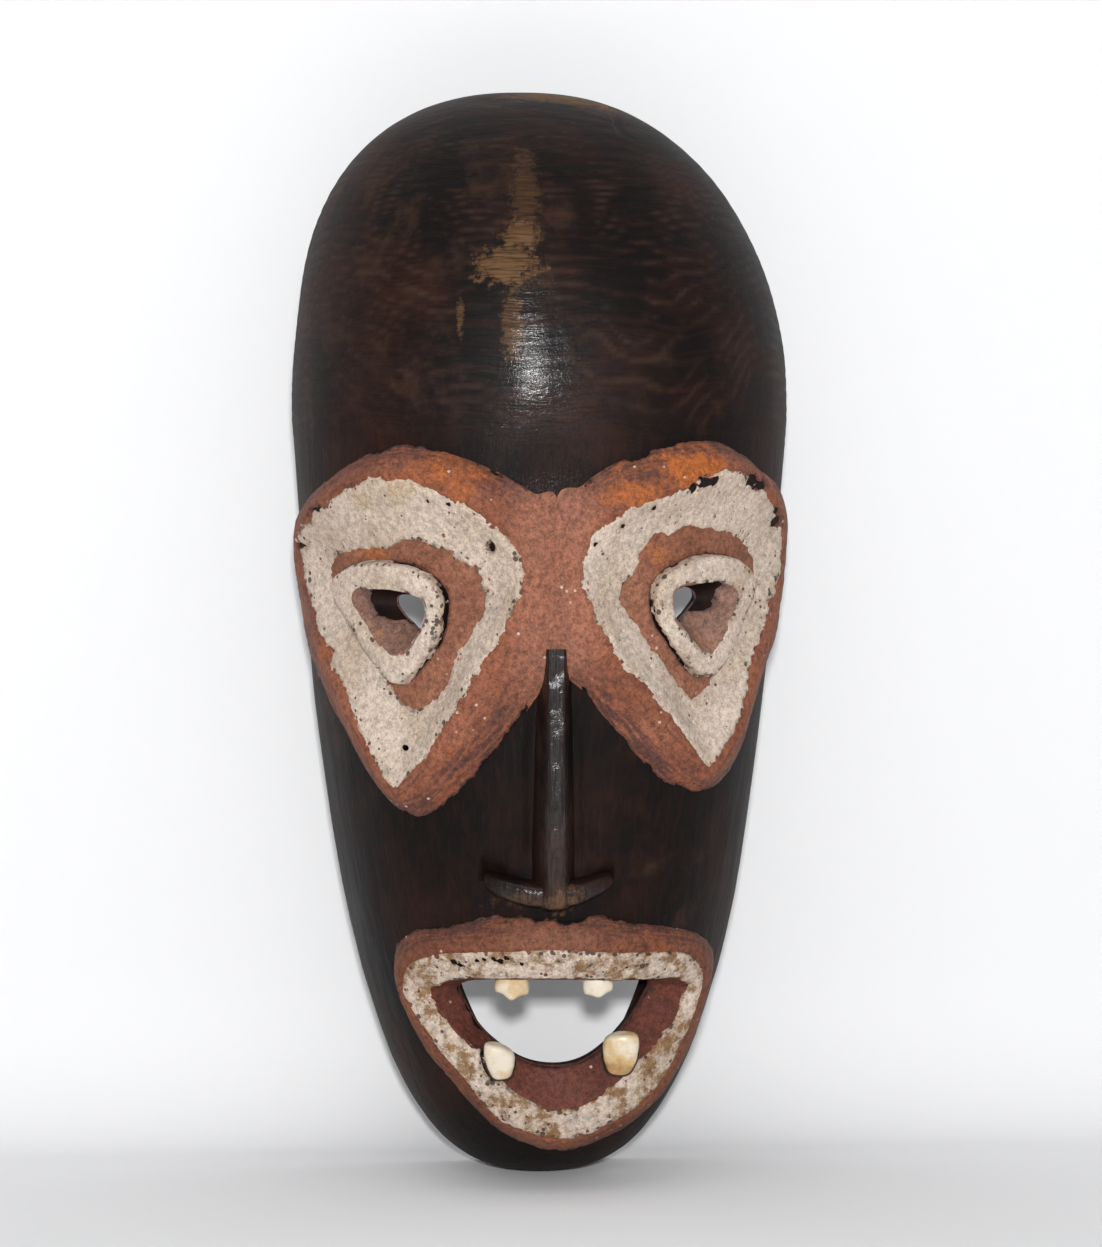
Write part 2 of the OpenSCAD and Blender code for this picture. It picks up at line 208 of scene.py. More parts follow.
def gridFaces(points, ringed, base):
    # quads of a grid whose columns close on themselves; a ringed grid's rows close too, others get end fans
    rows, columns = points.shape[:2]
    i = np.arange(rows if ringed else rows - 1)[:, None]
    j = np.arange(columns)[None, :]
    a = i * columns + j
    b = i * columns + (j + 1) % columns
    c = (i + 1) % rows * columns + (j + 1) % columns
    d = (i + 1) % rows * columns + j
    quads = np.stack([a, b, c, d], -1).reshape(-1, 4)
    flat = points.reshape(-1, 3)
    fans = np.zeros((0, 3), int)
    if not ringed:
        ends = np.stack([points[0].mean(0), points[-1].mean(0)])
        ring = np.arange(columns)
        last = (rows - 1) * columns
        first = np.stack([np.full(columns, len(flat)), (ring + 1) % columns, ring], -1)
        final = np.stack([np.full(columns, len(flat) + 1), last + ring, last + (ring + 1) % columns], -1)
        fans = np.concatenate([first, final])
        flat = np.concatenate([flat, ends])
    triangles = np.concatenate([quads[:, [0, 1, 2]], quads[:, [0, 2, 3]], fans])
    p, q, r = (flat[triangles[:, k]] for k in range(3))
    if np.einsum("ij,ij->i", p, np.cross(q, r)).sum() < 0:  # inside out, so every face is turned round
        quads, fans = quads[:, ::-1], fans[:, ::-1]
    return flat, (quads + base).tolist() + (fans + base).tolist()


def gridMesh(name, grids, marks=None):
    # one mesh of closed grids, given as (points, ringed), with named numbers for its points
    points, faces = [], []
    count = 0
    for grid, ringed in grids:
        flat, more = gridFaces(grid, ringed, count)
        points.append(flat)
        faces += more
        count += len(flat)
    mesh = bpy.data.meshes.new(name)
    mesh.from_pydata((np.concatenate(points) * mm).tolist(), [], faces)
    for label, values in (marks or {}).items():
        padded = np.zeros((count,) + values.shape[1:])
        padded[:len(values)] = values
        kind, field = ("FLOAT", "value") if values.ndim == 1 else ("FLOAT_VECTOR", "vector")
        mesh.attributes.new(label, kind, "POINT").data.foreach_set(field, padded.ravel())
    thing = bpy.data.objects.new(name, mesh)
    scene.collection.objects.link(thing)
    return thing


def cutWith(thing, tool, operation):
    # joins or subtracts a closed tool mesh, which is used up
    step = thing.modifiers.new(operation, "BOOLEAN")
    step.operation, step.object, step.solver = operation, tool, "MANIFOLD"
    bpy.context.view_layer.objects.active = thing
    bpy.ops.object.modifier_apply(modifier=step.name)
    bpy.data.objects.remove(tool)


def finishPiece(thing, material, replaced, sharp):
    # smooth but for edges sharper than the angle, then the piece's material, body, nodes and slot
    thing.data.shade_smooth()
    thing.data.set_sharp_from_angle(angle=math.radians(sharp))
    thing.data.materials.clear()
    thing.data.materials.append(material)
    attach(thing, "root")
    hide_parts(*replaced)
    print(thing.name, "faces", len(thing.data.polygons), "size", [round(v, 4) for v in thing.dimensions])


leftEye = {
    "centre": (-50, 12), "side": -1,
    "foot": [(0, 2), (0, 48.5), (-7, 52), (-15, 57), (-28, 63), (-47, 68), (-61, 64.5), (-70, 59),
             (-79, 51), (-85, 39), (-85.5, 24), (-84, 5), (-77, -14), (-70, -27), (-60, -44), (-52, -53),
             (-43, -56), (-34, -49), (-22, -36), (-9, -18)],
    "crest": [(-13, 15), (-9, 27), (-14, 38), (-23, 47), (-34, 53), (-46, 57.5), (-60, 56), (-70, 50),
              (-77, 42), (-80.5, 34), (-79.5, 24), (-76, 11), (-70, -5), (-62, -23), (-51, -44),
              (-45, -44), (-35, -29), (-23, -6), (-17, 4)],
    "dish": [(-25, 12), (-23, 20), (-29, 28), (-37, 34), (-47, 36), (-56, 33.5), (-66, 33), (-73, 29),
             (-73, 20), (-70, 12.5), (-66, 5), (-60, -4), (-55, -11.5), (-50, -18.5), (-45, -19),
             (-37, -12), (-32, -1)],
    "lid": [(-36, 11), (-36, 18), (-40, 24), (-47, 28), (-57, 29), (-65, 27.5), (-70.5, 23), (-70.5, 17),
            (-67, 11), (-63, 4), (-57, -5), (-52, -11), (-48, -10), (-42, -3), (-37.5, 4)],
    "well": [(-41, 12), (-42, 17.5), (-47, 19.5), (-54, 20.5), (-62, 19.5), (-63.5, 15), (-59, 8),
             (-55, 1.5), (-51, -2), (-46.5, 0.5), (-43, 6)],
    "hole": [(-42.5, 12), (-43, 17), (-47, 18), (-52, 18), (-56, 17.5), (-56.5, 14.5), (-54, 11),
             (-50.5, 8), (-46.5, 5.5), (-44, 8)],
    "crack": (215, 30),
}
rightEye = {
    "centre": (48, 14), "side": 1,
    "foot": [(0, 2), (0, 48.5), (8, 54.5), (16, 60), (28, 65), (45, 69), (57, 68), (70, 60), (79, 53),
             (85, 42), (85.5, 26), (83, 5), (76, -9), (70, -24), (66, -36), (59, -45), (51, -49),
             (40, -46), (28, -35), (12, -15)],
    "crest": [(11, 13), (7, 28), (10, 37), (18, 45), (29, 51), (43, 56), (54, 60), (63, 57.5), (71, 50),
              (76.5, 39), (77, 26), (74, 10), (67, -6), (62, -20), (57, -31), (50, -40), (44, -35),
              (33, -20), (20, -4)],
    "dish": [(23, 16), (25, 25), (30, 33), (38, 39.5), (48, 41), (59, 38.5), (66, 35.5), (70.5, 28),
             (70, 20), (67, 13), (64, 5.5), (60, -2), (56, -9), (50, -15), (44, -14), (38, -4), (29, 7)],
    "lid": [(33, 14), (33.5, 21), (38, 26.5), (46, 30), (55, 31), (62, 29), (67, 24), (67, 18),
            (64.5, 11), (61, 3), (57, -4), (52, -9.5), (46, -7), (40, 1), (35, 8)],
    "well": [(38, 15), (39, 20), (44, 22), (52, 22.5), (58.5, 21), (60.5, 17), (58.5, 11), (55.5, 4),
             (53, -0.5), (48.5, -1), (43, 5), (39, 10.5)],
    "hole": [(39.5, 14.5), (40, 18.5), (43.5, 20.5), (48, 20.5), (52, 19.5), (53.5, 16.5), (51, 13),
             (48, 10), (44.5, 8), (41, 11)],
    "crack": (-35, 30),
}
mouthRing = {
    "centre": (1, -124),
    "foot": [(57, -118), (57, -107), (50, -99.5), (40, -95.5), (28, -92.5), (17, -90), (6, -91),
             (-4, -90.5), (-15, -89.5), (-26, -91.5), (-38, -94.5), (-47, -98), (-52, -106), (-50, -120),
             (-42, -138), (-31, -152), (-16, -168), (4, -176), (24, -170), (40, -158), (52, -138)],
    "crest": [(48.5, -116), (47, -108), (41, -103.5), (28, -102), (14, -101), (0, -100), (-14, -100.5),
              (-28, -101.5), (-39, -104), (-45.5, -110), (-45, -119), (-37, -134), (-27, -147),
              (-14, -163), (4, -170), (20, -164), (34, -153), (43, -134)],
    "inner": [(45, -119), (44, -115.5), (39, -112.8), (28, -112), (14, -111), (0, -110.5), (-14, -110.5),
              (-27, -111), (-35, -113), (-39.5, -116), (-38, -121), (-31, -131), (-22, -140), (-11, -152),
              (4, -159), (16, -154), (27, -145), (38, -133)],
    "hole": [(39, -119), (39.5, -116), (36, -114), (27, -113.5), (14, -113), (0, -112.5), (-14, -112.5),
             (-25, -113), (-32, -114), (-35.5, -117), (-33, -122), (-28, -130), (-20, -137), (-9, -143),
             (3, -145), (14, -143), (24, -137), (33, -128)],
}
carving = {
    "browRise": 6.5, "bridgeRise": 6, "dishSink": 2, "lidRise": 2.9, "wellSink": 7, "crackSink": 3.4,
    "lipRise": 5.5, "innerRise": 1.8, "mouthSink": 8, "buried": 5, "backLap": 1.5, "plugReach": 40,
    "lump": 0.3, "lumpSize": 11,
}


def smoothLoop(outline, steps=6):
    # a closed Catmull-Rom curve through the outline's points, with steps points in each span
    p = np.array(outline, float)
    before, after, beyond = np.roll(p, 1, 0), np.roll(p, -1, 0), np.roll(p, -2, 0)
    t = (np.arange(steps) / steps)[:, None, None]
    curve = 0.5 * (2 * p + (after - before) * t + (2 * before - 5 * p + 4 * after - beyond) * t ** 2
                   + (3 * p - before - 3 * after + beyond) * t ** 3)
    return curve.transpose(1, 0, 2).reshape(-1, 2)


def radiusAt(outline, centre, angles):
    # distance from the centre to the smooth outline along each angle
    p = smoothLoop(outline) - np.array(centre)
    return np.interp(angles, np.arctan2(p[:, 1], p[:, 0]), np.hypot(p[:, 0], p[:, 1]), period=2 * np.pi)


def evenAngles(outline, centre, count):
    # angles whose points are equally far apart along the outline
    p = smoothLoop(outline, 12) - np.array(centre)
    turn = np.unwrap(np.arctan2(p[:, 1], p[:, 0]))
    run = np.concatenate([[0], np.cumsum(np.linalg.norm(np.diff(p, axis=0), axis=1))])
    whole = run[-1] + np.linalg.norm(p[-1] - p[0])
    turn = np.append(turn, turn[0] + 2 * np.pi * np.sign(turn[-1] - turn[0]))
    return np.interp(np.arange(count) / count * whole, np.append(run, whole), turn)


def eyeStations(eye, angles):
    # the loops of an eye from its foot inwards: distances, heights and how fast each slope settles
    r = {k: radiusAt(eye[k], eye["centre"], angles) for k in ("foot", "crest", "dish", "lid", "well", "hole")}
    towardsNose = -eye["side"] * np.cos(angles)
    footX = np.abs(eye["centre"][0] + r["foot"] * np.cos(angles))
    middle, spread = np.radians(eye["crack"])
    off = (angles - middle + np.pi) % (2 * np.pi) - np.pi
    inCrack = 1 - eased(np.abs(off), 0.8 * spread, 1.5 * spread)
    floor = -carving["dishSink"] - (carving["crackSink"] - carving["dishSink"]) * inCrack
    r["dish"] = r["dish"] * (1 - inCrack) + (r["lid"] + 0.7) * inCrack
    one = np.ones_like(angles)
    return {
        "radii": [r["foot"], r["crest"], r["dish"], r["lid"], 0.86 * r["lid"] + 0.14 * r["well"], r["well"],
                  r["hole"]],
        "heights": [carving["bridgeRise"] * (1 - eased(footX, 1.5, np.where(np.sin(angles) > 0.2, 20, 8))),
                    carving["browRise"] * (1 + 0.4 * towardsNose), floor, floor, one * carving["lidRise"],
                    one * (carving["lidRise"] - 0.4), -one * carving["wellSink"]],
        "settle": [1.6, 1.5, 1, 1.25, 0.8, 1.15],
    }


def mouthStations(ring, angles):
    # the loops of the mouth from the lips' foot inwards, as for an eye
    r = [radiusAt(ring[k], ring["centre"], angles) for k in ("foot", "crest", "inner", "hole")]
    one = np.ones_like(angles)
    return {
        "radii": r,
        "heights": [0 * one, one * carving["lipRise"], one * carving["innerRise"], -one * carving["mouthSink"]],
        "settle": [1.5, 0.9, 1.1],
    }


def ringPlace(ring, stations, angles, t):
    # at whole t the surface is on a loop; between loops the distance is mixed evenly, and the height by
    # 1 - (1 - v) ** settle, so a settle over 1 starts steep and ends flat
    k = np.clip(np.floor(t).astype(int), 0, len(stations["radii"]) - 2)
    v = (t - k)[:, None]
    radii, heights = np.array(stations["radii"]), np.array(stations["heights"])
    mixed = 1 - (1 - np.clip(v, 0, 1)) ** np.array(stations["settle"])[k][:, None]
    r = radii[k] * (1 - v) + radii[k + 1] * v
    h = heights[k] * (1 - mixed) + heights[k + 1] * mixed
    h = h - 0.7 * np.exp(-((t[:, None] - 1) / 0.09) ** 2)
    x = ring["centre"][0] + r * np.cos(angles)
    z = ring["centre"][1] + r * np.sin(angles)
    flat = np.stack([x, 0 * x, z], -1)
    h = h + carving["lump"] * roughness(flat, carving["lumpSize"], 2, 5)
    return x, z, r, h


def insetGrid(ring, stations, angles, steps):
    # the wood of a ring: buried foot, carved face, a hole straight back to the hollow, and its inner face
    loops = len(stations["radii"]) - 1
    t = np.concatenate([np.linspace(k, k + 1, steps[k], endpoint=False) for k in range(loops)] + [[loops]])
    x, z, r, h = ringPlace(ring, stations, angles, t)
    face = onFace(x, z, h)
    buried = onFace(x[0], z[0], h[0] - carving["buried"])
    inner = -block["wall"] - carving["backLap"]
    w = widthAt(face[-1][:, 2], block["wall"], block["endWall"])
    share = np.clip(np.abs(face[-1][:, 0]) / w, 0, 0.985)
    front = (1 - share ** block["power"]) ** (1 / block["power"])
    back = -front * depthAt(face[-1][:, 2], block["wall"], block["endWall"])
    behind = np.stack([face[-1][:, 0], back + carving["backLap"], face[-1][:, 2]], -1)
    plugX = ring["centre"][0] + stations["radii"][1] * np.cos(angles)
    plugZ = ring["centre"][1] + stations["radii"][1] * np.sin(angles)
    middle = onFace((x[-1] + plugX) / 2, (z[-1] + plugZ) / 2, inner)
    outer = onFace(plugX, plugZ, inner)
    return np.concatenate([buried[None], face, behind[None], middle[None], outer[None]])


def plugGrid(ring, stations, angles):
    # a closed plug through the wall, a little inside the crest
    r = 0.9 * stations["radii"][1] + 0.1 * stations["radii"][2]
    x = ring["centre"][0] + r * np.cos(angles)
    z = ring["centre"][1] + r * np.sin(angles)
    levels = (-2 * block["wall"], -block["wall"], 0, carving["plugReach"])
    return np.stack([onFace(x, z, np.full_like(x, h)) for h in levels])


toothThickness = 7
resinBed = {"thickness": 0.7, "upperEnd": -0.05, "lowerEnd": 0.2, "lowerSetBack": 1.6}
teeth = {
    "upperLeftTooth": {
        "node": "upper_left_tooth", "place": (-14, -111, -6), "turns": (180, 4), "width": 12, "crown": 7.6,
        "root": 7, "stain": 0.62, "whiter": 0.0, "lobes": 0.9, "slant": 0.05, "seed": 31},
    "upperRightTooth": {
        "node": "upper_right_tooth", "place": (17.3, -111, -6), "turns": (180, -3), "width": 10.6, "crown": 7.4,
        "root": 7, "stain": 0.06, "whiter": 0.1, "lobes": 0.5, "slant": -0.08, "seed": 47},
    "lowerLeftTooth": {
        "node": "lower_left_tooth", "place": (-16.5, -143, 1), "turns": (12, -6), "width": 10.4, "crown": 8,
        "root": 4.2, "stain": 0.18, "whiter": 0.3, "lobes": 0.2, "slant": -0.42, "seed": 63},
    "lowerRightTooth": {
        "node": "lower_right_tooth", "place": (23.3, -141.5, 1.5), "turns": (12, 3), "width": 12.4,
        "crown": 9.8, "root": 5.0, "stain": 0.48, "whiter": 0.6, "lobes": 0.1, "slant": 0.12, "seed": 79},
}
toothProfile = [(-1, 0.56), (-0.7, 0.68), (-0.3, 0.8), (0.1, 0.92), (0.5, 1), (0.85, 0.99), (1, 0.95)]


def toothFrame(tooth):
    # a tooth's own axes in the mask's frame: turned about x, then about y, and moved to its place on the face
    aboutX, aboutY = (math.radians(t) for t in tooth["turns"])
    turn = Matrix.Rotation(aboutY, 3, "Y") @ Matrix.Rotation(aboutX, 3, "X")
    x, z, lift = tooth["place"]
    return np.array(turn), onFace(np.array(float(x)), np.array(float(z)), lift)


def toothGrid(tooth, margin, lastShare, columns, rows):
    # rounded sections along the tooth, |x/a|^2.6 + |y/b|^2.6 = 1, closing at both ends on a power curve
    turn, place = toothFrame(tooth)
    whole = lastShare >= 1
    s = -np.cos(np.linspace(0.035, 1, rows) * np.pi * 0.985) if whole else np.linspace(-0.995, lastShare, rows)
    closing = (1 - np.abs(s) ** 5) ** (1 / 5)
    profile = np.interp(s, *np.transpose(toothProfile))
    a = (tooth["width"] / 2 * profile * closing + margin)[:, None]
    b = (toothThickness / 2 * (0.35 + 0.65 * profile) * closing + margin)[:, None]
    t = np.arange(columns) / columns * 2 * np.pi
    x = np.sign(np.cos(t)) * np.abs(np.cos(t)) ** 0.77 * a
    y = np.sign(np.sin(t)) * np.abs(np.sin(t)) ** 0.77 * b
    z = (np.where(s < 0, s * tooth["root"], s * tooth["crown"]) + margin * s)[:, None] + 0 * x
    z = z + tooth["slant"] * x * eased(s, 0, 1)[:, None]
    z = z + tooth["lobes"] * np.cos(2 * np.pi * x / (0.62 * tooth["width"])) * eased(s, 0.3, 1)[:, None]
    points = np.stack([x, y, z], -1)
    grooves = 0.14 * noise(points * np.array([1, 1, 0.2]), 1.5, tooth["seed"])
    grooves = grooves + 0.22 * noise(points, 4, tooth["seed"] + 1)
    points = points * (1 + grooves[..., None] / tooth["width"] * np.array([1.4, 3.0, 0]))
    marks = tooth["stain"] + tooth["whiter"] * eased(-s, -0.55, 0.5)[:, None] + 0 * x
    return points @ turn.T + place, marks


def toothGap(points):
    # how far outside the nearest tooth's outline each point is, in millimetres
    gap = np.full(points.shape[:-1], 99.0)
    for tooth in teeth.values():
        turn, place = toothFrame(tooth)
        local = (points - place) @ turn
        s = np.where(local[..., 2] < 0, local[..., 2] / tooth["root"], local[..., 2] / tooth["crown"])
        profile = np.interp(s, *np.transpose(toothProfile))
        a, b = tooth["width"] / 2 * profile, toothThickness / 2 * (0.35 + 0.65 * profile)
        share = (np.abs(local[..., 0] / a) ** 2.6 + np.abs(local[..., 1] / b) ** 2.6 + 1e-9) ** (1 / 2.6)
        beyond = np.maximum(np.abs(s) - 1, 0) * tooth["root"]
        gap = np.minimum(gap, np.maximum((share - 1) * b, beyond))
    return gap


wood = {
    "rows": 300, "columns": 176, "hollowRows": 110, "hollowColumns": 70, "rim": 1.4, "ringAngles": 190,
    "eyeSteps": [7, 8, 3, 3, 3, 5], "mouthSteps": [6, 6, 8],
    "lump": 0.55, "ringRidge": 0.26, "ringSpacing": 4.3, "toolMark": 0.13, "gouge": 1.1,
    "noseLength": 85, "noseRise": 17, "noseStart": 1.6,
    "wingSpan": 43, "wingShift": 1.8, "wingThickness": 8, "wingRise": 4.5, "pocket": 4.2,
}
crack = {"x": 31, "z": (172, 183), "width": 0.9, "depth": 1.8}


def wingMiddle(u):
    # the height of the nostril wings' middle line, a parabola that turns up to both ends
    return -wood["noseLength"] + wood["wingThickness"] / 2 + wood["wingRise"] * u ** 2


def ringPhase(p):
    # which growth ring a point lies in: its height, bent by noise and by its distance from the middle, in rings
    wave = 5.5 * noise(p * np.array([1, 1, 0.6]), 42, 21) + 1.6 * noise(p, 13, 22)
    return (p[..., 2] + wave + 0.0016 * p[..., 0] ** 2) / wood["ringSpacing"]


def faceCarving(p):
    # how far the knife left the wood off the plain block: broad unevenness, wavy growth rings that stand
    # proud across the forehead, upright tool marks lower down, and hollows beside and above the nostrils
    x, z = p[..., 0], p[..., 2]
    lift = wood["lump"] * roughness(p, 46, 2, 11)
    ridge = 1 - np.abs(2 * (ringPhase(p) % 1) - 1) ** 1.4
    crest = np.exp(-((x + 7) / 17) ** 2) * eased(z, 55, 92) * (1 - eased(z, 150, 185))
    lift = lift + 1.5 * crest
    forehead = eased(z, 52, 84)
    strength = 0.45 + 0.55 * eased(noise(p, 26, 23), -0.3, 0.5)
    lift = lift + wood["ringRidge"] * (ridge - 0.6) * strength * (0.25 + 0.75 * forehead) * eased(z, -185, -60)
    upright = noise(p * np.array([1, 1, 0.07]), 2.6, 24) + 0.6 * noise(p * np.array([1, 1, 0.05]), 6, 25)
    lift = lift + wood["toolMark"] * upright * (1 - 0.7 * forehead)
    side = np.abs(x)
    line = 9.2 + 0.5 * noise(p, 17, 26)
    beside = (1 - eased(side, line - 0.5, line + 0.4)) * eased(z, -74, -66) * (1 - eased(z, -30, -16))
    flat = (1 - eased(side, 9, 16)) * eased(z, -80, -66) * (1 - eased(z, -45, -20))
    slant = -80.5 + 0.8 * (side - 6) + 0.7 * noise(p, 8, 27)
    reach = np.where(x < 0, 23.5, 19.5) + 0.4 * noise(p, 6, 28)
    wing = wingMiddle((x + wood["wingShift"]) / (wood["wingSpan"] / 2))
    pocket = np.clip((slant - z) / 9, 0, 1) * (side > 5) * (1 - eased(side, reach, reach + 0.8))
    pocket = pocket * eased(z, wing - 1, wing)
    brow = np.exp(-(x / 15) ** 2 - ((z - 60) / 13) ** 2)
    lift = np.where((z > -62) & (z < 74), np.maximum(lift, -0.2), lift)
    lift = lift - 0.8 * beside - 0.5 * flat - wood["pocket"] * pocket - 1.4 * brow
    start, end = crack["z"]
    inside = eased(z, start, start + 3) * (1 - eased(z, end, end + 2))
    return lift - crack["depth"] * inside * np.exp(-((x - crack["x"]) / crack["width"]) ** 2)


def hollowCarving(p):
    # overlapping scoops of a curved adze, longer than they are wide
    away, mark = nearestDot(p * np.array([1, 0.6, 0.42]), 15, 41)
    return wood["gouge"] * (0.75 - away) * (0.6 + 0.6 * mark) + 0.5 * roughness(p, 30, 2, 45) - 0.35


def blockGrid(inset, ends, rows, columns, backY, carve, lean):
    # level superellipse sections from the chin to the crown, each pushed out or in by the carving
    reach = block["halfHeight"] - ends
    level = -reach * np.cos(np.radians(4 + 172 * np.arange(rows + 1) / rows))
    u = 2 * np.arange(columns + 1) / columns - 1
    a = np.sign(u) * np.abs(u) ** lean * np.pi / 2
    n = block["power"]
    w, d = widthAt(level, inset, ends)[:, None], depthAt(level, inset, ends)[:, None]
    x = np.sign(a) * w * np.abs(np.sin(a)) ** (2 / n)
    y = -d * np.abs(np.cos(a)) ** (2 / n)
    z = level[:, None] + 0 * x
    across = np.sign(x) * np.abs(x / w) ** (n - 1) / w
    forward = -np.abs(y / d) ** (n - 1) / d
    length = np.hypot(across, forward)
    p = np.stack([x, y, z], -1)
    lift = carve(p) * eased(-y, 0, 9) * eased(reach - np.abs(z), 0, 3)
    front = p + lift[..., None] * np.stack([across / length, forward / length, 0 * x], -1)
    front[..., 0] -= block["lean"] * eased(z, 95, 190)  # the crown leans a little to one side
    edge = wood["rim"] if backY == 0 else 0
    first, last = front[:, :1].copy(), front[:, -1:].copy()
    front[:, 0, 1] = front[:, -1, 1] = -edge
    first[..., 0] += edge
    last[..., 0] -= edge
    first[..., 1] = last[..., 1] = backY
    return np.concatenate([first, front, last], axis=1)


def noseGrid(rows=90, columns=30):
    # the ridge: rounded sections that widen and stand out further towards the foot of the nose
    share = np.linspace(0, 1, rows)[:, None]
    z = -wood["noseLength"] + (wood["noseLength"] + wood["noseStart"]) * share
    half = 6.2 * share + 8.2 * (1 - share)
    flat = 2.5 * share + 1.5 * (1 - share)
    rise = wood["noseRise"] * (1 - share) + (carving["bridgeRise"] + 3.2) * share
    rounded = eased(share, -0.05, 0.02)
    u = np.linspace(-1, 1, columns)
    x = np.sign(u) * np.abs(u) ** 0.8 * half
    slope = np.clip((np.abs(x) - flat) / (half - flat), 0, 1) ** 1.5
    y = carving["buried"] - depthAt(z) - (rise * rounded + carving["buried"]) * (1 - slope)
    p = np.stack([x, y, z + 0 * x], -1)
    p[..., 1] += 0.28 * roughness(p, 6, 2, 51) + 0.17 * noise(p, 2.2, 52)
    return p


def wingsGrid(rows=90, columns=36):
    # the nostril wings: one crescent across the foot of the nose, thinner and lower towards its turned-up ends
    u = np.linspace(-1, 1, rows)[:, None]
    x = u * wood["wingSpan"] / 2 - wood["wingShift"]
    z = wingMiddle(u)
    half = wood["wingThickness"] / 2 * (1 - 0.3 * np.abs(u) ** 3) * (1 - np.abs(u) ** 14) ** 0.4
    rise = wood["noseRise"] * (0.70 - 0.34 * u ** 2)
    back = onFace(x, z, -carving["buried"])[..., 1]
    a = np.arange(columns) / columns * 2 * np.pi
    out = (1 + np.sign(np.cos(a)) * np.abs(np.cos(a)) ** 0.55) / 2
    y = back - (rise + carving["buried"]) * out
    p = np.stack([x + 0 * y, y, z + np.sign(np.sin(a)) * half * np.abs(np.sin(a)) ** 0.6], -1)
    p[..., 1:] += 0.26 * noise(p, 5, 53)[..., None] + 0.15 * noise(p, 1.8, 54)[..., None]
    return p


nail = {"x": -49, "z": -33, "radius": 1.05}


def nailDrill():
    # a round pin from in front of the face to behind the rim
    turn = np.arange(24) / 24 * 2 * np.pi
    r = nail["radius"]
    ring = np.stack([nail["x"] + r * np.cos(turn), 0 * turn, nail["z"] + r * np.sin(turn)], -1)
    return gridMesh("drill", [(np.stack([ring + np.array([0, y, 0]) for y in (-130, -60, 10)]), False)])


def markPoints(thing, label, values):
    thing.data.attributes.new(label, "FLOAT", "POINT").data.foreach_set("value", values)


def markWood(body):
    # numbers for the wood's material: relief, how far a point lies in front of the plain block; polish, a round
    # patch on the forehead and whatever stands well out of the face by the nose; ring, the crests of the rings
    points = np.zeros(len(body.data.vertices) * 3)
    body.data.vertices.foreach_get("co", points)
    points = points.reshape(-1, 3) / mm
    x, y, z = points.T
    plain = onFace(x, z, np.zeros(len(points)))
    forehead = np.exp(-((x + 8) / 27) ** 2 - ((z - 96) / 27) ** 2)
    ridge = eased(-y - depthAt(z), 4, 8) * eased(z, -92, -84) * (1 - eased(z, 2, 6)) * (np.abs(x) < 24)
    ring = eased(np.abs(2 * (2 * ringPhase(points) % 1) - 1), 0.55, 0.95) * eased(z, 60, 95) * (y < -20)
    markPoints(body, "relief", np.clip((plain[:, 1] - y) / 0.9 + 0.3, 0, 1))
    markPoints(body, "polish", np.clip(0.95 * forehead + ridge, 0, 1))
    markPoints(body, "ring", ring)


def makeWood():
    # the carved block less its hollow, with its carved rings, then nose, wings, sockets and nail hole
    body = gridMesh("woodBody", [(blockGrid(0, 0, wood["rows"], wood["columns"], 0, faceCarving, 1.25), False)])
    hollow = blockGrid(block["wall"], block["endWall"], wood["hollowRows"], wood["hollowColumns"], 5,
                       hollowCarving, 1)
    cutWith(body, gridMesh("hollow", [(hollow, False)]), "DIFFERENCE")
    rings = []
    for ring in (leftEye, rightEye, mouthRing):
        stationsOf, steps = (mouthStations, "mouthSteps") if ring is mouthRing else (eyeStations, "eyeSteps")
        angles = evenAngles(ring["crest"], ring["centre"], wood["ringAngles"])
        stations = stationsOf(ring, angles)
        cutWith(body, gridMesh("plug", [(plugGrid(ring, stations, angles), False)]), "DIFFERENCE")
        rings.append(insetGrid(ring, stations, angles, wood[steps]))
    for grid in rings:
        cutWith(body, gridMesh("inset", [(grid, True)]), "UNION")
    cutWith(body, gridMesh("nose", [(noseGrid(), False)]), "UNION")
    cutWith(body, gridMesh("wings", [(wingsGrid(), False)]), "UNION")
    for tooth in teeth.values():
        socket, _ = toothGrid(tooth, 0.8, 2, 32, 24)
        cutWith(body, gridMesh("socket", [(socket, False)]), "DIFFERENCE")
    cutWith(body, nailDrill(), "DIFFERENCE")
    return body


coats = {
    "browOchre": {"thickness": 0.8, "rows": 44, "columns": 640},
    "band": {"thickness": 1.2, "rows": 46, "columns": 620},
    "dish": {"thickness": 0.6, "rows": 26, "columns": 420},
    "lid": {"thickness": 1.1, "rows": 30, "columns": 380},
    "well": {"thickness": 0.6, "rows": 22, "columns": 260},
    "lipOchre": {"thickness": 0.8, "rows": 34, "columns": 560},
    "lipKaolin": {"thickness": 1.2, "rows": 30, "columns": 560},
    "mouthOchre": {"thickness": 0.6, "rows": 30, "columns": 480},
    "sunk": 0.45, "bottom": 0.8, "bottomStride": 3,
}


bandChips = {
    "left": [(-80, 33, 0.8), (-74, 46, 0.7), (-20, 35, 1.0), (-40, 50, 0.4), (-33, 49, 0.5)],
    "right": [(43, 54.3, 1.5), (47, 55.8, 2.0), (51, 56.6, 1.5), (64, 55.6, 1.7), (67, 54.4, 1.6),
              (75, 42, 1.3), (31, 48, 0.9), (21, 42, 0.8), (12, 36, 0.9), (74, 45, 0.8)],
}
lipChips = [(-24, -104.6, 0.8), (-21.5, -104, 0.9), (-19, -103.4, 0.8), (-16.5, -104.3, 0.7),
            (-14.5, -103.5, 0.8), (-12.5, -104.6, 0.6), (-10, -105, 0.6), (-31, -105.5, 0.9),
            (-29, -106.4, 0.7), (12, -106.5, 0.6), (24, -107.5, 0.8), (27, -107, 0.6)]


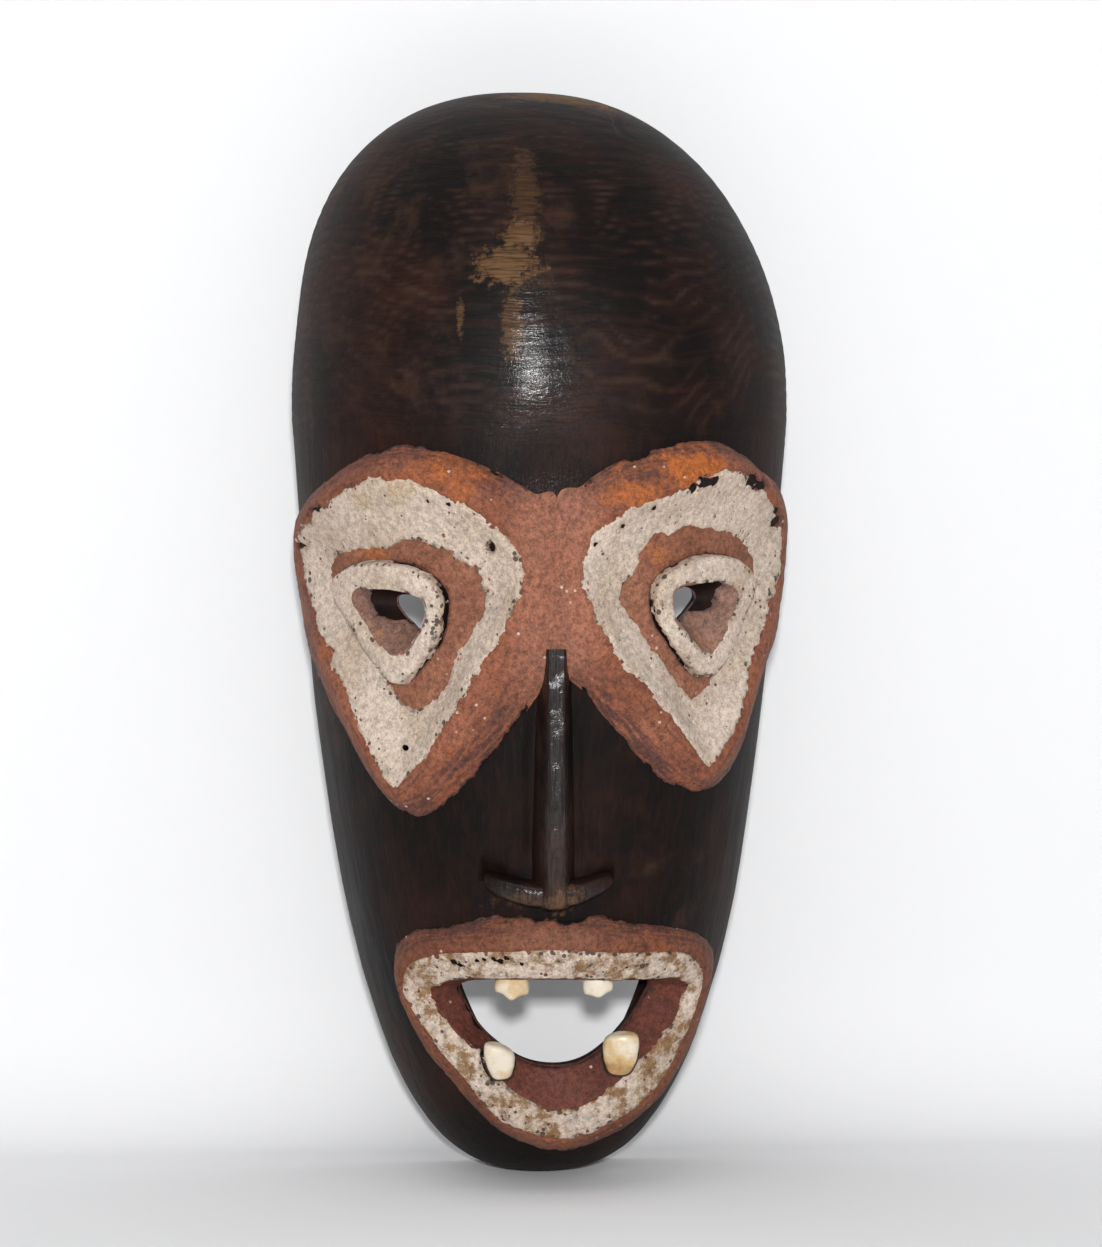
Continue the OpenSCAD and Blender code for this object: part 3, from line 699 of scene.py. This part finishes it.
def coatGrid(ring, stations, angles, reach, loops, ragged, coat, seed, chips=(), bridged=False, short=0):
    # a clay skin over the carved face: the top stands one thickness proud inside its ragged outline and dips
    # under the wood outside it, and the bottom follows below, so every chip and edge is real relief
    t = np.linspace(reach[0], reach[1], coat["rows"])
    x, z, r, h = ringPlace(ring, stations, angles, t)
    base = onFace(x, z, h)
    outline = [np.array(stations["radii"][k]) for k in loops]
    wander = 1.1 * noise(base, 7, seed) + 0.7 * noise(base, 2.7, seed + 1) + 0.45 * noise(base, 1.1, seed + 2)
    outer = outline[0] - r + ragged[0] * wander
    if bridged:
        outer = np.where(np.abs(x) < 9, 9, outer)
    inner = r - outline[1] - short + ragged[1] * (0.8 * wander + 0.9 * noise(base, 4.2, seed + 3))
    edge = np.minimum(outer, inner)
    for cx, cz, size in chips:
        away = np.hypot(x - cx, z - cz) * (1 + 0.6 * noise(base, 1.9, seed + 4)) - size
        edge = np.minimum(edge, away)
    edge = np.minimum(edge, toothGap(base) - 0.9)
    spot, mark = nearestDot(base, 3.1, seed + 5)
    pits = (1 - eased(spot, 0.06 + 0.14 * mark, 0.12 + 0.2 * mark)) * eased(mark, 0.45, 0.6)
    present = eased(edge, -0.1, 0.4)
    body = coat["thickness"] * (0.78 + 0.3 * eased(edge, 0, 2.5)) + 0.13 * roughness(base, 3.4, 3, seed + 6)
    lift = -coats["sunk"] + (body + coats["sunk"]) * present - 0.75 * coat["thickness"] * pits * present
    out = normalsOf(base)
    top = base + out * lift[..., None]
    bottom = (base - out * coats["bottom"])[::-coats["bottomStride"]]
    patchy = noise(base, 17, seed + 9) + 0.5 * noise(base, 5, seed + 10)
    dirt = (1 - eased(edge, 0.4, 2.6)) * eased(patchy, -0.35, 0.55)
    flow = np.stack([np.cos(angles) + 0 * r, np.sin(angles) + 0 * r, t[:, None] + 0 * r], -1)
    under = bottom[..., 0].size
    marks = {"edge": np.concatenate([np.clip(edge, 0, 5).ravel() / 5, np.zeros(under)]),
             "dirt": np.concatenate([dirt.ravel(), np.ones(under)]),
             "flow": np.concatenate([flow.reshape(-1, 3), np.zeros((under, 3))])}
    return np.concatenate([top, bottom]), marks


def eyeCoat(eye, key, reach, loops, ragged, seed, chips=(), bridged=False, bare=0):
    # a coat of an eye; bare millimetres of wood are left round the outer side of the hole
    angles = evenAngles(eye["crest"], eye["centre"], coats[key]["columns"])
    outwards = np.cos(angles - math.radians(150 if eye["side"] < 0 else 30))
    short = bare * eased(outwards, 0.2, 0.9)
    stations = eyeStations(eye, angles)
    return coatGrid(eye, stations, angles, reach, loops, ragged, coats[key], seed, chips, bridged, short)


def mouthCoat(key, reach, loops, ragged, seed, chips=()):
    # a coat of the mouth, on the same angles as the mouth's carving
    angles = evenAngles(mouthRing["crest"], mouthRing["centre"], coats[key]["columns"])
    stations = mouthStations(mouthRing, angles)
    return coatGrid(mouthRing, stations, angles, reach, loops, ragged, coats[key], seed, chips)


def makeCoat(name, grids, material, nodes):
    # one piece of one or more closed skins, each grid with the numbers marked on its points
    marks = {label: np.concatenate([m[label] for g, m in grids]) for label in grids[0][1]}
    thing = gridMesh(name, [(grid, True) for grid, m in grids], marks)
    finishPiece(thing, material, nodes, 60)
    return thing


def addNode(tree, kind, inputs=None, **settings):
    # a node with its settings; an input is linked where its value is a socket, and set where it isn't
    node = tree.nodes.new(kind)
    for key, value in settings.items():
        setattr(node, key, value)
    for key, value in (inputs or {}).items():
        if isinstance(value, bpy.types.NodeSocket):
            tree.links.new(value, node.inputs[key])
        else:
            node.inputs[key].default_value = value
    return node


def maths(tree, operation, a, b=0.0):
    return addNode(tree, "ShaderNodeMath", {0: a, 1: b}, operation=operation).outputs[0]


def times(tree, a, b):
    return maths(tree, "MULTIPLY", a, b)


def vectorMaths(tree, operation, a, b):
    return addNode(tree, "ShaderNodeVectorMath", {0: a, 1: b}, operation=operation).outputs[0]


def painted(tree, colour, over, mask, strength=None, mode="MIX"):
    # the colour with another laid over it, as far as the mask times the strength says
    share = mask if strength is None else times(tree, mask, strength)
    node = addNode(tree, "ShaderNodeMix", {0: share, 6: colour, 7: over}, data_type="RGBA", blend_type=mode)
    return node.outputs[2]


def ramp(tree, value, low, high, start=0.0, end=1.0):
    # start at low, end at high, and a smooth step between
    return addNode(tree, "ShaderNodeMapRange", {0: value, 1: low, 2: high, 3: start, 4: end},
                   interpolation_type="SMOOTHSTEP").outputs[0]


def noiseNode(tree, vector, scale, detail=3.0, rough=0.55, distortion=0.0):
    return addNode(tree, "ShaderNodeTexNoise", {"Vector": vector, "Scale": scale, "Detail": detail,
                                                "Roughness": rough, "Distortion": distortion}).outputs[0]


def partOf(tree, vector, axis):
    return addNode(tree, "ShaderNodeSeparateXYZ", {"Vector": vector}).outputs[axis]


def attribute(tree, label, kind="Fac"):
    return addNode(tree, "ShaderNodeAttribute", attribute_name=label).outputs[kind]


def shaded(tree, colour, grain, dark, light):
    # the colour times a factor that goes from dark to light with the grain
    factor = ramp(tree, grain, 0.3, 0.7, dark, light)
    return addNode(tree, "ShaderNodeVectorMath", {0: colour, "Scale": factor}, operation="SCALE").outputs[0]


def newGroup(name, inputs, outputs):
    tree = bpy.data.node_groups.new(name, "ShaderNodeTree")
    for label, kind, value in inputs:
        socket = tree.interface.new_socket(label, in_out="INPUT", socket_type="NodeSocket" + kind)
        if value is not None:
            socket.default_value = value
    for label, kind in outputs:
        tree.interface.new_socket(label, in_out="OUTPUT", socket_type="NodeSocket" + kind)
    return tree, tree.nodes.new("NodeGroupInput"), tree.nodes.new("NodeGroupOutput")


def useGroup(tree, group, inputs):
    return addNode(tree, "ShaderNodeGroup", inputs, node_tree=group)


def makeClayGrain():
    # brushed clay: sand grain, dark pinholes that crowd near a coat's edge, and small stains
    tree, given, result = newGroup(
        "clayGrain",
        [("Vector", "Vector", None), ("Dirt", "Float", 0.0), ("Pinholes", "Float", 0.5),
         ("Edge Pits", "Float", 0.5)],
        [("Grain", "Float"), ("Pits", "Float"), ("Height", "Float")])
    place = given.outputs["Vector"]
    fine = noiseNode(tree, place, 1500, 2.0, 0.6)
    sand = noiseNode(tree, place, 520, 3.0, 0.6)
    grain = maths(tree, "ADD", times(tree, fine, 0.45), times(tree, sand, 0.55))
    cells = addNode(tree, "ShaderNodeTexVoronoi", {"Vector": place, "Scale": 520}, feature="F1")
    chosen = partOf(tree, cells.outputs["Color"], "X")
    crowd = noiseNode(tree, place, 95, 3.0, 0.6)
    rim = times(tree, given.outputs["Dirt"], given.outputs["Edge Pits"])
    often = maths(tree, "ADD", times(tree, given.outputs["Pinholes"], crowd), rim)
    wide = times(tree, ramp(tree, often, 0.12, 0.95), ramp(tree, chosen, 0.45, 1.0, 0.0, 0.62))
    pits = ramp(tree, maths(tree, "SUBTRACT", wide, cells.outputs["Distance"]), -0.02, 0.06)
    soiled = maths(tree, "ADD", noiseNode(tree, place, 340, 4.0, 0.7), times(tree, rim, 0.22))
    dark = maths(tree, "MAXIMUM", pits, times(tree, ramp(tree, soiled, 0.66, 0.76), 0.75))
    height = maths(tree, "SUBTRACT", grain, times(tree, pits, 0.9))
    for label, value in (("Grain", grain), ("Pits", dark), ("Height", height)):
        tree.links.new(value, result.inputs[label])
    return tree


def makeStreaks():
    # brush or chisel streaks: noise drawn out along one axis at two widths, its place shoved by more noise
    tree, given, result = newGroup(
        "streaks", [("Vector", "Vector", None), ("Scale", "Vector", (1, 1, 1)), ("Wander", "Float", 1.0)],
        [("Streak", "Float"), ("Fine", "Float")])
    place = given.outputs["Vector"]
    shove = addNode(tree, "ShaderNodeTexNoise", {"Vector": place, "Scale": 28, "Detail": 2.0}).outputs["Color"]
    offset = addNode(tree, "ShaderNodeVectorMath", operation="SCALE", inputs={
        0: vectorMaths(tree, "SUBTRACT", shove, (0.5, 0.5, 0.5)), "Scale": given.outputs["Wander"]}).outputs[0]
    long = vectorMaths(tree, "MULTIPLY", vectorMaths(tree, "ADD", place, offset), given.outputs["Scale"])
    tree.links.new(noiseNode(tree, long, 1.0, 4.0, 0.6), result.inputs["Streak"])
    tree.links.new(noiseNode(tree, long, 3.6, 3.0, 0.7), result.inputs["Fine"])
    return tree


def makeWornSpot():
    # a rubbed patch: 1 near the middle of a stretched sphere, falling to 0 along a torn outline
    tree, given, result = newGroup(
        "wornSpot", [("Vector", "Vector", None), ("Centre", "Vector", (0, 0, 0)),
                     ("Shape", "Vector", (1, 1, 1)), ("Radius", "Float", 0.01), ("Torn", "Float", 0.5)],
        [("Mask", "Float")])
    away = vectorMaths(tree, "SUBTRACT", given.outputs["Vector"], given.outputs["Centre"])
    away = vectorMaths(tree, "MULTIPLY", away, given.outputs["Shape"])
    length = addNode(tree, "ShaderNodeVectorMath", {0: away}, operation="LENGTH").outputs["Value"]
    share = maths(tree, "DIVIDE", length, given.outputs["Radius"])
    ragged = maths(tree, "SUBTRACT", noiseNode(tree, given.outputs["Vector"], 330, 5.0, 0.75), 0.5)
    torn = times(tree, ragged, given.outputs["Torn"])
    tree.links.new(ramp(tree, maths(tree, "ADD", share, torn), 1.0, 0.55), result.inputs["Mask"])
    return tree


clayGrain, streaks, wornSpot = makeClayGrain(), makeStreaks(), makeWornSpot()


def spotOn(tree, place, centre, lift, shape, radius, torn):
    # a rubbed patch centred on the face at (across, up), lift millimetres in front of the block
    return useGroup(tree, wornSpot, {"Vector": place, "Centre": onFace(*centre, lift) * mm, "Shape": shape,
                                     "Radius": radius * mm, "Torn": torn}).outputs[0]


def newMaterial(name):
    material = bpy.data.materials.new(name)
    material.use_nodes = True
    tree = material.node_tree
    tree.nodes.clear()
    shader = tree.nodes.new("ShaderNodeBsdfPrincipled")
    out = tree.nodes.new("ShaderNodeOutputMaterial")
    tree.links.new(shader.outputs[0], out.inputs["Surface"])
    place = addNode(tree, "ShaderNodeTexCoord").outputs["Object"]
    return material, tree, shader, place


def bump(tree, shader, height, strength, distance):
    node = addNode(tree, "ShaderNodeBump", {"Strength": strength, "Distance": distance, "Height": height})
    tree.links.new(node.outputs[0], shader.inputs["Normal"])
    tree.links.new(node.outputs[0], shader.inputs["Coat Normal"])


woodLook = {
    "black": (0.0062, 0.0046, 0.0043, 1), "brown": (0.030, 0.0112, 0.0072, 1),
    "grey": (0.015, 0.0118, 0.011, 1), "pore": (0.004, 0.003, 0.003, 1),
    "rubbed": (0.070, 0.034, 0.020, 1), "ring": (0.066, 0.034, 0.022, 1),
    "worn": (0.200, 0.104, 0.043, 1), "pale": (0.60, 0.45, 0.32, 1), "roughness": (0.50, 0.62),
    "specular": 0.075, "polishRoughness": 0.17, "polishIor": 1.4, "noseLift": 15,
    # the rubbed patches: place across and up in millimetres, shape stretch, radius and strength
    "patches": [((10, 187), (0.45, 1, 1.4), 12, 0.7), ((-11, 137), (1, 0.5, 1.2), 8, 0.55),
                ((-15, 127), (0.7, 0.5, 1.2), 9, 0.62), ((-14, 107), (1.8, 0.5, 0.6), 8, 0.42),
                ((-9, 150), (1.6, 0.4, 0.35), 9, 0.22), ((2, -85), (1, 0.4, 0.9), 8, 0.45),
                ((-12, -84), (0.6, 0.4, 1.6), 8, 0.2), ((-31, 111), (3.2, 0.5, 0.7), 5, 0.45)],
    "chip": ((26, -183), (0.6, 1, 1.9), 5.5),
}


def makeWoodMaterial(look):
    # oiled black wood: level growth rings on the forehead, upright figure below it, rubbed and polished places
    material, tree, shader, place = newMaterial("darkWood")
    forehead = ramp(tree, partOf(tree, place, "Z"), 0.055, 0.085)
    rings = useGroup(tree, streaks, {"Vector": place, "Scale": (26, 26, 420), "Wander": 0.012})
    upright = useGroup(tree, streaks, {"Vector": place, "Scale": (520, 520, 22), "Wander": 0.003})
    streak, fine = (
        addNode(tree, "ShaderNodeMix", {0: forehead, 2: upright.outputs[kind], 3: rings.outputs[kind]}).outputs[0]
        for kind in ("Streak", "Fine"))
    broad = noiseNode(tree, place, 22, 4.0, 0.6)
    colour = painted(tree, look["black"], look["brown"], ramp(tree, broad, 0.40, 0.72, 0.0, 0.8))
    colour = painted(tree, colour, look["brown"], ramp(tree, streak, 0.48, 0.70), 0.32)
    pores = ramp(tree, maths(tree, "ABSOLUTE", maths(tree, "SUBTRACT", streak, 0.5)), 0.035, 0.0)
    colour = painted(tree, colour, look["pore"], pores, 0.5)
    colour = painted(tree, colour, look["grey"], ramp(tree, fine, 0.55, 0.8), 0.45)
    raised = times(tree, ramp(tree, attribute(tree, "relief"), 0.25, 1.0),
                   ramp(tree, noiseNode(tree, place, 60, 4.0, 0.7), 0.48, 0.72))
    colour = painted(tree, colour, look["rubbed"], raised, 0.36)
    lines = times(tree, attribute(tree, "ring"), ramp(tree, noiseNode(tree, place, 45, 4.0, 0.7), 0.42, 0.62))
    colour = painted(tree, colour, look["ring"], lines, 0.42)
    worn = 0.0
    for centre, shape, radius, strength in look["patches"]:
        lift = look["noseLift"] if -90 < centre[1] < -60 else 0.0  # on the nose's foot
        spot = spotOn(tree, place, centre, lift, shape, radius, 2.6)
        worn = maths(tree, "MAXIMUM", times(tree, spot, strength), worn)
    worn = times(tree, worn, ramp(tree, fine, 0.35, 0.6, 0.3, 1.0))
    colour = painted(tree, colour, look["worn"], worn)
    centre, shape, radius = look["chip"]
    colour = painted(tree, colour, look["pale"], spotOn(tree, place, centre, 0.0, shape, radius, 0.5))
    tree.links.new(colour, shader.inputs["Base Color"])
    shader.inputs["Specular IOR Level"].default_value = look["specular"]
    shader.inputs["Coat Roughness"].default_value = look["polishRoughness"]
    shader.inputs["Coat IOR"].default_value = look["polishIor"]
    polish = times(tree, attribute(tree, "polish"), ramp(tree, fine, 0.35, 0.62, 0.3, 1.0))
    tree.links.new(polish, shader.inputs["Coat Weight"])
    uneven = maths(tree, "ADD", times(tree, streak, 0.5), times(tree, broad, 0.5))
    rough = maths(tree, "ADD", ramp(tree, uneven, 0.3, 0.7, *look["roughness"]), times(tree, worn, 0.2))
    tree.links.new(rough, shader.inputs["Roughness"])
    height = maths(tree, "ADD", times(tree, streak, 0.6), times(tree, fine, 0.4))
    height = maths(tree, "ADD", height, times(tree, noiseNode(tree, place, 700, 3.0, 0.65), 0.45))
    bump(tree, shader, height, 0.6, 0.0005)
    return material


ochreLook = {
    "clay": (0.180, 0.056, 0.027, 1), "pale": (0.240, 0.086, 0.047, 1), "purple": (0.066, 0.030, 0.026, 1),
    "rust": (0.36, 0.098, 0.020, 1), "middle": (0.27, 0.108, 0.066, 1), "dark": (0.018, 0.011, 0.009, 1),
    "speck": (0.50, 0.38, 0.31, 1),
    # bright patches: place across and up in millimetres, radius and strength
    "bright": [((44, 60), 11, 0.9), ((24, 52), 8, 0.6), ((-38, 60), 10, 0.28)],
}


def makeOchreMaterial(name, look, dull, dirt, tint=(1, 1, 1, 1)):
    # brushed red clay: tint shifts the whole coat, and in the well's copy it is painted light against the hole's
    # shade; dull mixes in purple; dirt is how far the streaks show, and over 0.4 it adds a purple foot that is
    # partly painted shade
    material, tree, shader, place = newMaterial(name)
    edge = attribute(tree, "edge")
    flow = attribute(tree, "flow", "Vector")
    grain = useGroup(tree, clayGrain, {"Vector": place, "Dirt": attribute(tree, "dirt"), "Pinholes": 0.62,
                                       "Edge Pits": 0.5})
    brush = useGroup(tree, streaks, {"Vector": flow, "Scale": (5, 5, 11), "Wander": 0.0}).outputs["Streak"]
    cloud = noiseNode(tree, place, 34, 4.0, 0.6)
    colour = painted(tree, look["clay"], look["pale"], ramp(tree, cloud, 0.38, 0.66))
    colour = painted(tree, colour, look["purple"], ramp(tree, brush, 0.50, 0.76), dirt)
    if dirt > 0.4:  # a streaked coat darkens towards its foot too
        # towards its foot the coat turns purple along the streaks: partly the paint's own purple, partly painted
        # shade on the lower slopes by the nose
        rim = times(tree, ramp(tree, partOf(tree, flow, "Z"), 0.85, 0.1), ramp(tree, brush, 0.40, 0.56))
        colour = painted(tree, colour, look["purple"], rim, 0.85)
    for centre, radius, strength in look["bright"]:
        spot = spotOn(tree, place, centre, 6.0, (0.6, 1, 1.4), radius, 2.0)
        colour = painted(tree, colour, look["rust"], spot, strength)
    blotch = ramp(tree, noiseNode(tree, place, 170, 5.0, 0.75), 0.56, 0.70)
    colour = painted(tree, colour, look["purple"], blotch, 0.5)
    across = maths(tree, "ABSOLUTE", partOf(tree, place, "X"))
    colour = painted(tree, colour, look["middle"], ramp(tree, across, 0.020, 0.006), 0.7)
    rust = ramp(tree, noiseNode(tree, place, 48, 3.0, 0.5, 0.4), 0.57, 0.72)
    colour = painted(tree, colour, look["rust"], rust, 0.55)
    colour = painted(tree, colour, look["purple"], dull)
    colour = painted(tree, colour, look["purple"], ramp(tree, edge, 0.02, 0.32, 0.62, 0.0))
    # the tint multiplies the whole coat; in the well's copy it is painted light that lifts the coat out of the
    # hole's shade
    colour = painted(tree, colour, tint, 1.0, mode="MULTIPLY")
    colour = shaded(tree, colour, grain.outputs["Grain"], 0.5, 1.5)
    colour = painted(tree, colour, look["dark"], grain.outputs["Pits"], 0.75)
    dots = addNode(tree, "ShaderNodeTexVoronoi", {"Vector": place, "Scale": 210}, feature="F1")
    specks = ramp(tree, dots.outputs["Distance"], 0.14, 0.07)
    here = ramp(tree, noiseNode(tree, place, 60, 2.0, 0.5), 0.50, 0.58)
    colour = painted(tree, colour, look["speck"], specks, here)
    tree.links.new(colour, shader.inputs["Base Color"])
    tree.links.new(ramp(tree, cloud, 0.3, 0.7, 0.66, 0.86), shader.inputs["Roughness"])
    shader.inputs["Specular IOR Level"].default_value = 0.3
    bump(tree, shader, grain.outputs["Height"], 0.55, 0.0005)
    return material


kaolinLook = {
    "white": (0.525, 0.428, 0.352, 1), "cream": (0.45, 0.35, 0.27, 1), "grey": (0.36, 0.31, 0.27, 1),
    "stain": (0.22, 0.125, 0.060, 1), "yellow": (0.36, 0.25, 0.12, 1), "dark": (0.030, 0.022, 0.017, 1),
    # yellowed patches: place across and up in millimetres, radius and strength
    "yellowed": [((-47, 54), 7, 0.45), ((64, 26), 4.5, 0.6), ((-60, 50), 5, 0.35)],
}


def makeKaolinMaterial(name, look, pinholes, edgePits, dirty):
    # chalky white clay: cloudy, soiled in blotches as far as dirty says, and stained along its edges
    material, tree, shader, place = newMaterial(name)
    dirt = attribute(tree, "dirt")
    grain = useGroup(tree, clayGrain, {"Vector": place, "Dirt": dirt, "Pinholes": pinholes,
                                       "Edge Pits": edgePits})
    cloud = noiseNode(tree, place, 40, 4.0, 0.6)
    colour = painted(tree, look["white"], look["cream"], ramp(tree, cloud, 0.42, 0.68))
    dust = ramp(tree, noiseNode(tree, place, 90, 4.0, 0.7), 0.55, 0.72)
    colour = painted(tree, colour, look["grey"], dust, 0.55)
    soil = ramp(tree, maths(tree, "ADD", noiseNode(tree, place, 150, 5.0, 0.75), dirty), 0.62, 0.80)
    colour = painted(tree, colour, look["stain"], soil, 0.6 + 2.5 * dirty)
    colour = painted(tree, colour, look["stain"], ramp(tree, dirt, 0.3, 1.0), 0.35)
    for centre, radius, strength in look["yellowed"]:
        spot = spotOn(tree, place, centre, 5.0, (1, 0.5, 1.3), radius, 2.2)
        colour = painted(tree, colour, look["yellow"], spot, strength)
    colour = shaded(tree, colour, grain.outputs["Grain"], 0.62, 1.32)
    colour = painted(tree, colour, look["dark"], grain.outputs["Pits"], 0.85)
    tree.links.new(colour, shader.inputs["Base Color"])
    tree.links.new(ramp(tree, cloud, 0.3, 0.7, 0.8, 0.95), shader.inputs["Roughness"])
    shader.inputs["Specular IOR Level"].default_value = 0.25
    bump(tree, shader, grain.outputs["Height"], 0.6, 0.0005)
    return material


toothLook = {
    "enamel": (0.70, 0.62, 0.50, 1), "yellow": (0.56, 0.39, 0.19, 1), "orange": (0.36, 0.19, 0.065, 1),
    "pit": (0.10, 0.055, 0.03, 1), "subsurface": 0.12, "subsurfaceReach": (0.002, 0.0012, 0.0008),
}


def makeToothMaterial(look):
    # enamel that yellows, then turns orange, as the stain attribute and a cloud say, with small brown pits
    material, tree, shader, place = newMaterial("toothEnamel")
    cloud = noiseNode(tree, place, 160, 4.0, 0.6)
    lines = useGroup(tree, streaks, {"Vector": place, "Scale": (900, 900, 90), "Wander": 0.002})
    amount = maths(tree, "ADD", attribute(tree, "stain"), times(tree, maths(tree, "SUBTRACT", cloud, 0.5), 2.0))
    colour = painted(tree, look["enamel"], look["yellow"], ramp(tree, amount, 0.1, 0.75))
    colour = painted(tree, colour, look["orange"], ramp(tree, amount, 0.7, 1.25))
    pits = ramp(tree, noiseNode(tree, place, 420, 3.0, 0.6), 0.68, 0.78)
    colour = painted(tree, colour, look["pit"], pits, 0.6)
    tree.links.new(colour, shader.inputs["Base Color"])
    tree.links.new(ramp(tree, cloud, 0.3, 0.7, 0.30, 0.48), shader.inputs["Roughness"])
    shader.inputs["Subsurface Weight"].default_value = look["subsurface"]
    shader.inputs["Subsurface Radius"].default_value = look["subsurfaceReach"]
    bump(tree, shader, lines.outputs["Streak"], 0.25, 0.0003)
    return material


resinLook = {"dark": (0.010, 0.006, 0.004, 1), "light": (0.055, 0.026, 0.014, 1)}


def makeResinMaterial(look):
    # dark plant resin, clouded and lumpy
    material, tree, shader, place = newMaterial("plantResin")
    cloud = noiseNode(tree, place, 500, 3.0, 0.6)
    colour = painted(tree, look["dark"], look["light"], ramp(tree, cloud, 0.4, 0.7))
    tree.links.new(colour, shader.inputs["Base Color"])
    tree.links.new(ramp(tree, cloud, 0.3, 0.7, 0.35, 0.6), shader.inputs["Roughness"])
    bump(tree, shader, cloud, 0.5, 0.0004)
    return material


def makePaperMaterial(look):
    # plain paper that is not seen, and casts nothing, from behind
    material = bpy.data.materials.new("paper")
    material.use_nodes = True
    tree = material.node_tree
    tree.nodes.clear()
    matt = addNode(tree, "ShaderNodeBsdfDiffuse", {"Color": (*look["paper"], 1)})
    clear = addNode(tree, "ShaderNodeBsdfTransparent")
    behind = addNode(tree, "ShaderNodeNewGeometry").outputs["Backfacing"]
    either = addNode(tree, "ShaderNodeMixShader", {0: behind, 1: matt.outputs[0], 2: clear.outputs[0]})
    out = addNode(tree, "ShaderNodeOutputMaterial")
    tree.links.new(either.outputs[0], out.inputs["Surface"])
    return material


def makeStage(s):
    # a floor that turns up into a wall on a quarter circle, drawn as one strip along x
    floorZ = cadBox[0].z / mm
    left, right = s["floor"]
    turn = np.linspace(0, np.pi / 2, s["sweepSteps"])
    y = np.concatenate([[left], s["wallY"] - s["sweepRadius"] * (1 - np.sin(turn)), [s["wallY"]]])
    z = np.concatenate([[floorZ], floorZ + s["sweepRadius"] * (1 - np.cos(turn)), [s["wallTop"]]])
    n = len(y)
    points = [(x * mm, y[i] * mm, z[i] * mm) for i in range(n) for x in (-right, right)]
    faces = [(2 * i, 2 * i + 1, 2 * i + 3, 2 * i + 2) for i in range(n - 1)]
    mesh = bpy.data.meshes.new("paperSweep")
    mesh.from_pydata(points, [], faces)
    mesh.shade_smooth()
    mesh.materials.append(makePaperMaterial(s))
    sweep = bpy.data.objects.new("paperSweep", mesh)
    scene.collection.objects.link(sweep)
    world = bpy.data.worlds.new("studio")
    world.use_nodes = True
    world.node_tree.nodes["Background"].inputs[0].default_value = (*s["sky"], 1)
    world.node_tree.nodes["Background"].inputs[1].default_value = s["skyStrength"]
    scene.world = world
    print("stage ready")


makeStage(stageSettings)
darkWood = makeWoodMaterial(woodLook)
browClay = makeOchreMaterial("ochreClay", ochreLook, 0.0, 0.8)
lipRed = makeOchreMaterial("ochreClayRed", ochreLook, 0.15, 0.6, (0.82, 0.80, 0.76, 1))
dishClay = makeOchreMaterial("ochreClayPlain", ochreLook, 0.1, 0.1, (1.15, 1.35, 1.45, 1))
# the well's copy is tinted far lighter: painted light that makes up for the shade the hole casts on the well
wellClay = makeOchreMaterial("ochreClayPaintedLight", ochreLook, 0.42, 0.2, (1.35, 2.0, 2.4, 1))
mouthClay = makeOchreMaterial("ochreClayDeep", ochreLook, 0.5, 0.3, (0.70, 0.52, 0.50, 1))
bandClay = makeKaolinMaterial("kaolinClay", kaolinLook, 0.85, 0.80, 0.0)
lipClay = makeKaolinMaterial("kaolinClaySoiled", kaolinLook, 0.95, 0.85, 0.185)
enamel, resin = makeToothMaterial(toothLook), makeResinMaterial(resinLook)
print("materials ready")

woodBody = makeWood()
markWood(woodBody)
finishPiece(woodBody, darkWood, ["mask_body"], 42)
print("wood ready")

browParts = []
for side, eye, seed in (("left", leftEye, 100), ("right", rightEye, 200)):
    chips = bandChips[side]
    browParts.append(eyeCoat(eye, "browOchre", (-0.04, 1.12), (0, 2), (1.0, 0), seed, chips, True))
    bandPart = eyeCoat(eye, "band", (0.86, 2.25), (1, 2), (1.0, 1.3), seed + 10, chips)
    band = makeCoat(side + "KaolinBand", [bandPart], bandClay, [side + "_kaolin_band"])
    if side == "left":
        cutWith(band, nailDrill(), "DIFFERENCE")
    dishPart = eyeCoat(eye, "dish", (1.7, 3.1), (1, 3), (0, 0.2), seed + 20)
    makeCoat(side + "OchreDish", [dishPart], dishClay, [side + "_ochre_dish"])
    lidPart = eyeCoat(eye, "lid", (2.9, 5.3), (3, 5), (0.35, 0.35), seed + 30)
    makeCoat(side + "KaolinLid", [lidPart], bandClay, [side + "_kaolin_lid"])
    wellPart = eyeCoat(eye, "well", (4.8, 6.05), (4, 6), (0, 0.9), seed + 40, bare=4.2)
    makeCoat(side + "OchreWell", [wellPart], wellClay, [side + "_ochre_well"])
makeCoat("browOchre", browParts, browClay, ["brow_ochre"])

lipPart = mouthCoat("lipOchre", (-0.1, 1.15), (0, 2), (1.0, 0), 300)
makeCoat("lipOchre", [lipPart], lipRed, ["lip_ochre"])
whitePart = mouthCoat("lipKaolin", (0.8, 2.2), (1, 2), (0.6, 0.6), 310, lipChips)
makeCoat("lipKaolin", [whitePart], lipClay, ["lip_kaolin"])
innerPart = mouthCoat("mouthOchre", (1.8, 3.04), (1, 3), (0, 0.4), 320)
makeCoat("mouthOchre", [innerPart], mouthClay, ["mouth_ochre"])
print("coats ready")

for name, tooth in teeth.items():
    grid, stain = toothGrid(tooth, 0, 2, 64, 60)
    piece = gridMesh(name, [(grid, False)], {"stain": stain.ravel()})
    finishPiece(piece, enamel, [tooth["node"]], 60)
    upper = tooth["turns"][0] > 90
    grid, _ = toothGrid(tooth, resinBed["thickness"], resinBed["upperEnd" if upper else "lowerEnd"], 56, 24)
    grid[..., 1] += 0 if upper else resinBed["lowerSetBack"]
    bed = gridMesh(name.replace("Tooth", "Resin"), [(grid, False)])
    finishPiece(bed, resin, [tooth["node"].replace("tooth", "resin")], 60)
print("teeth ready")
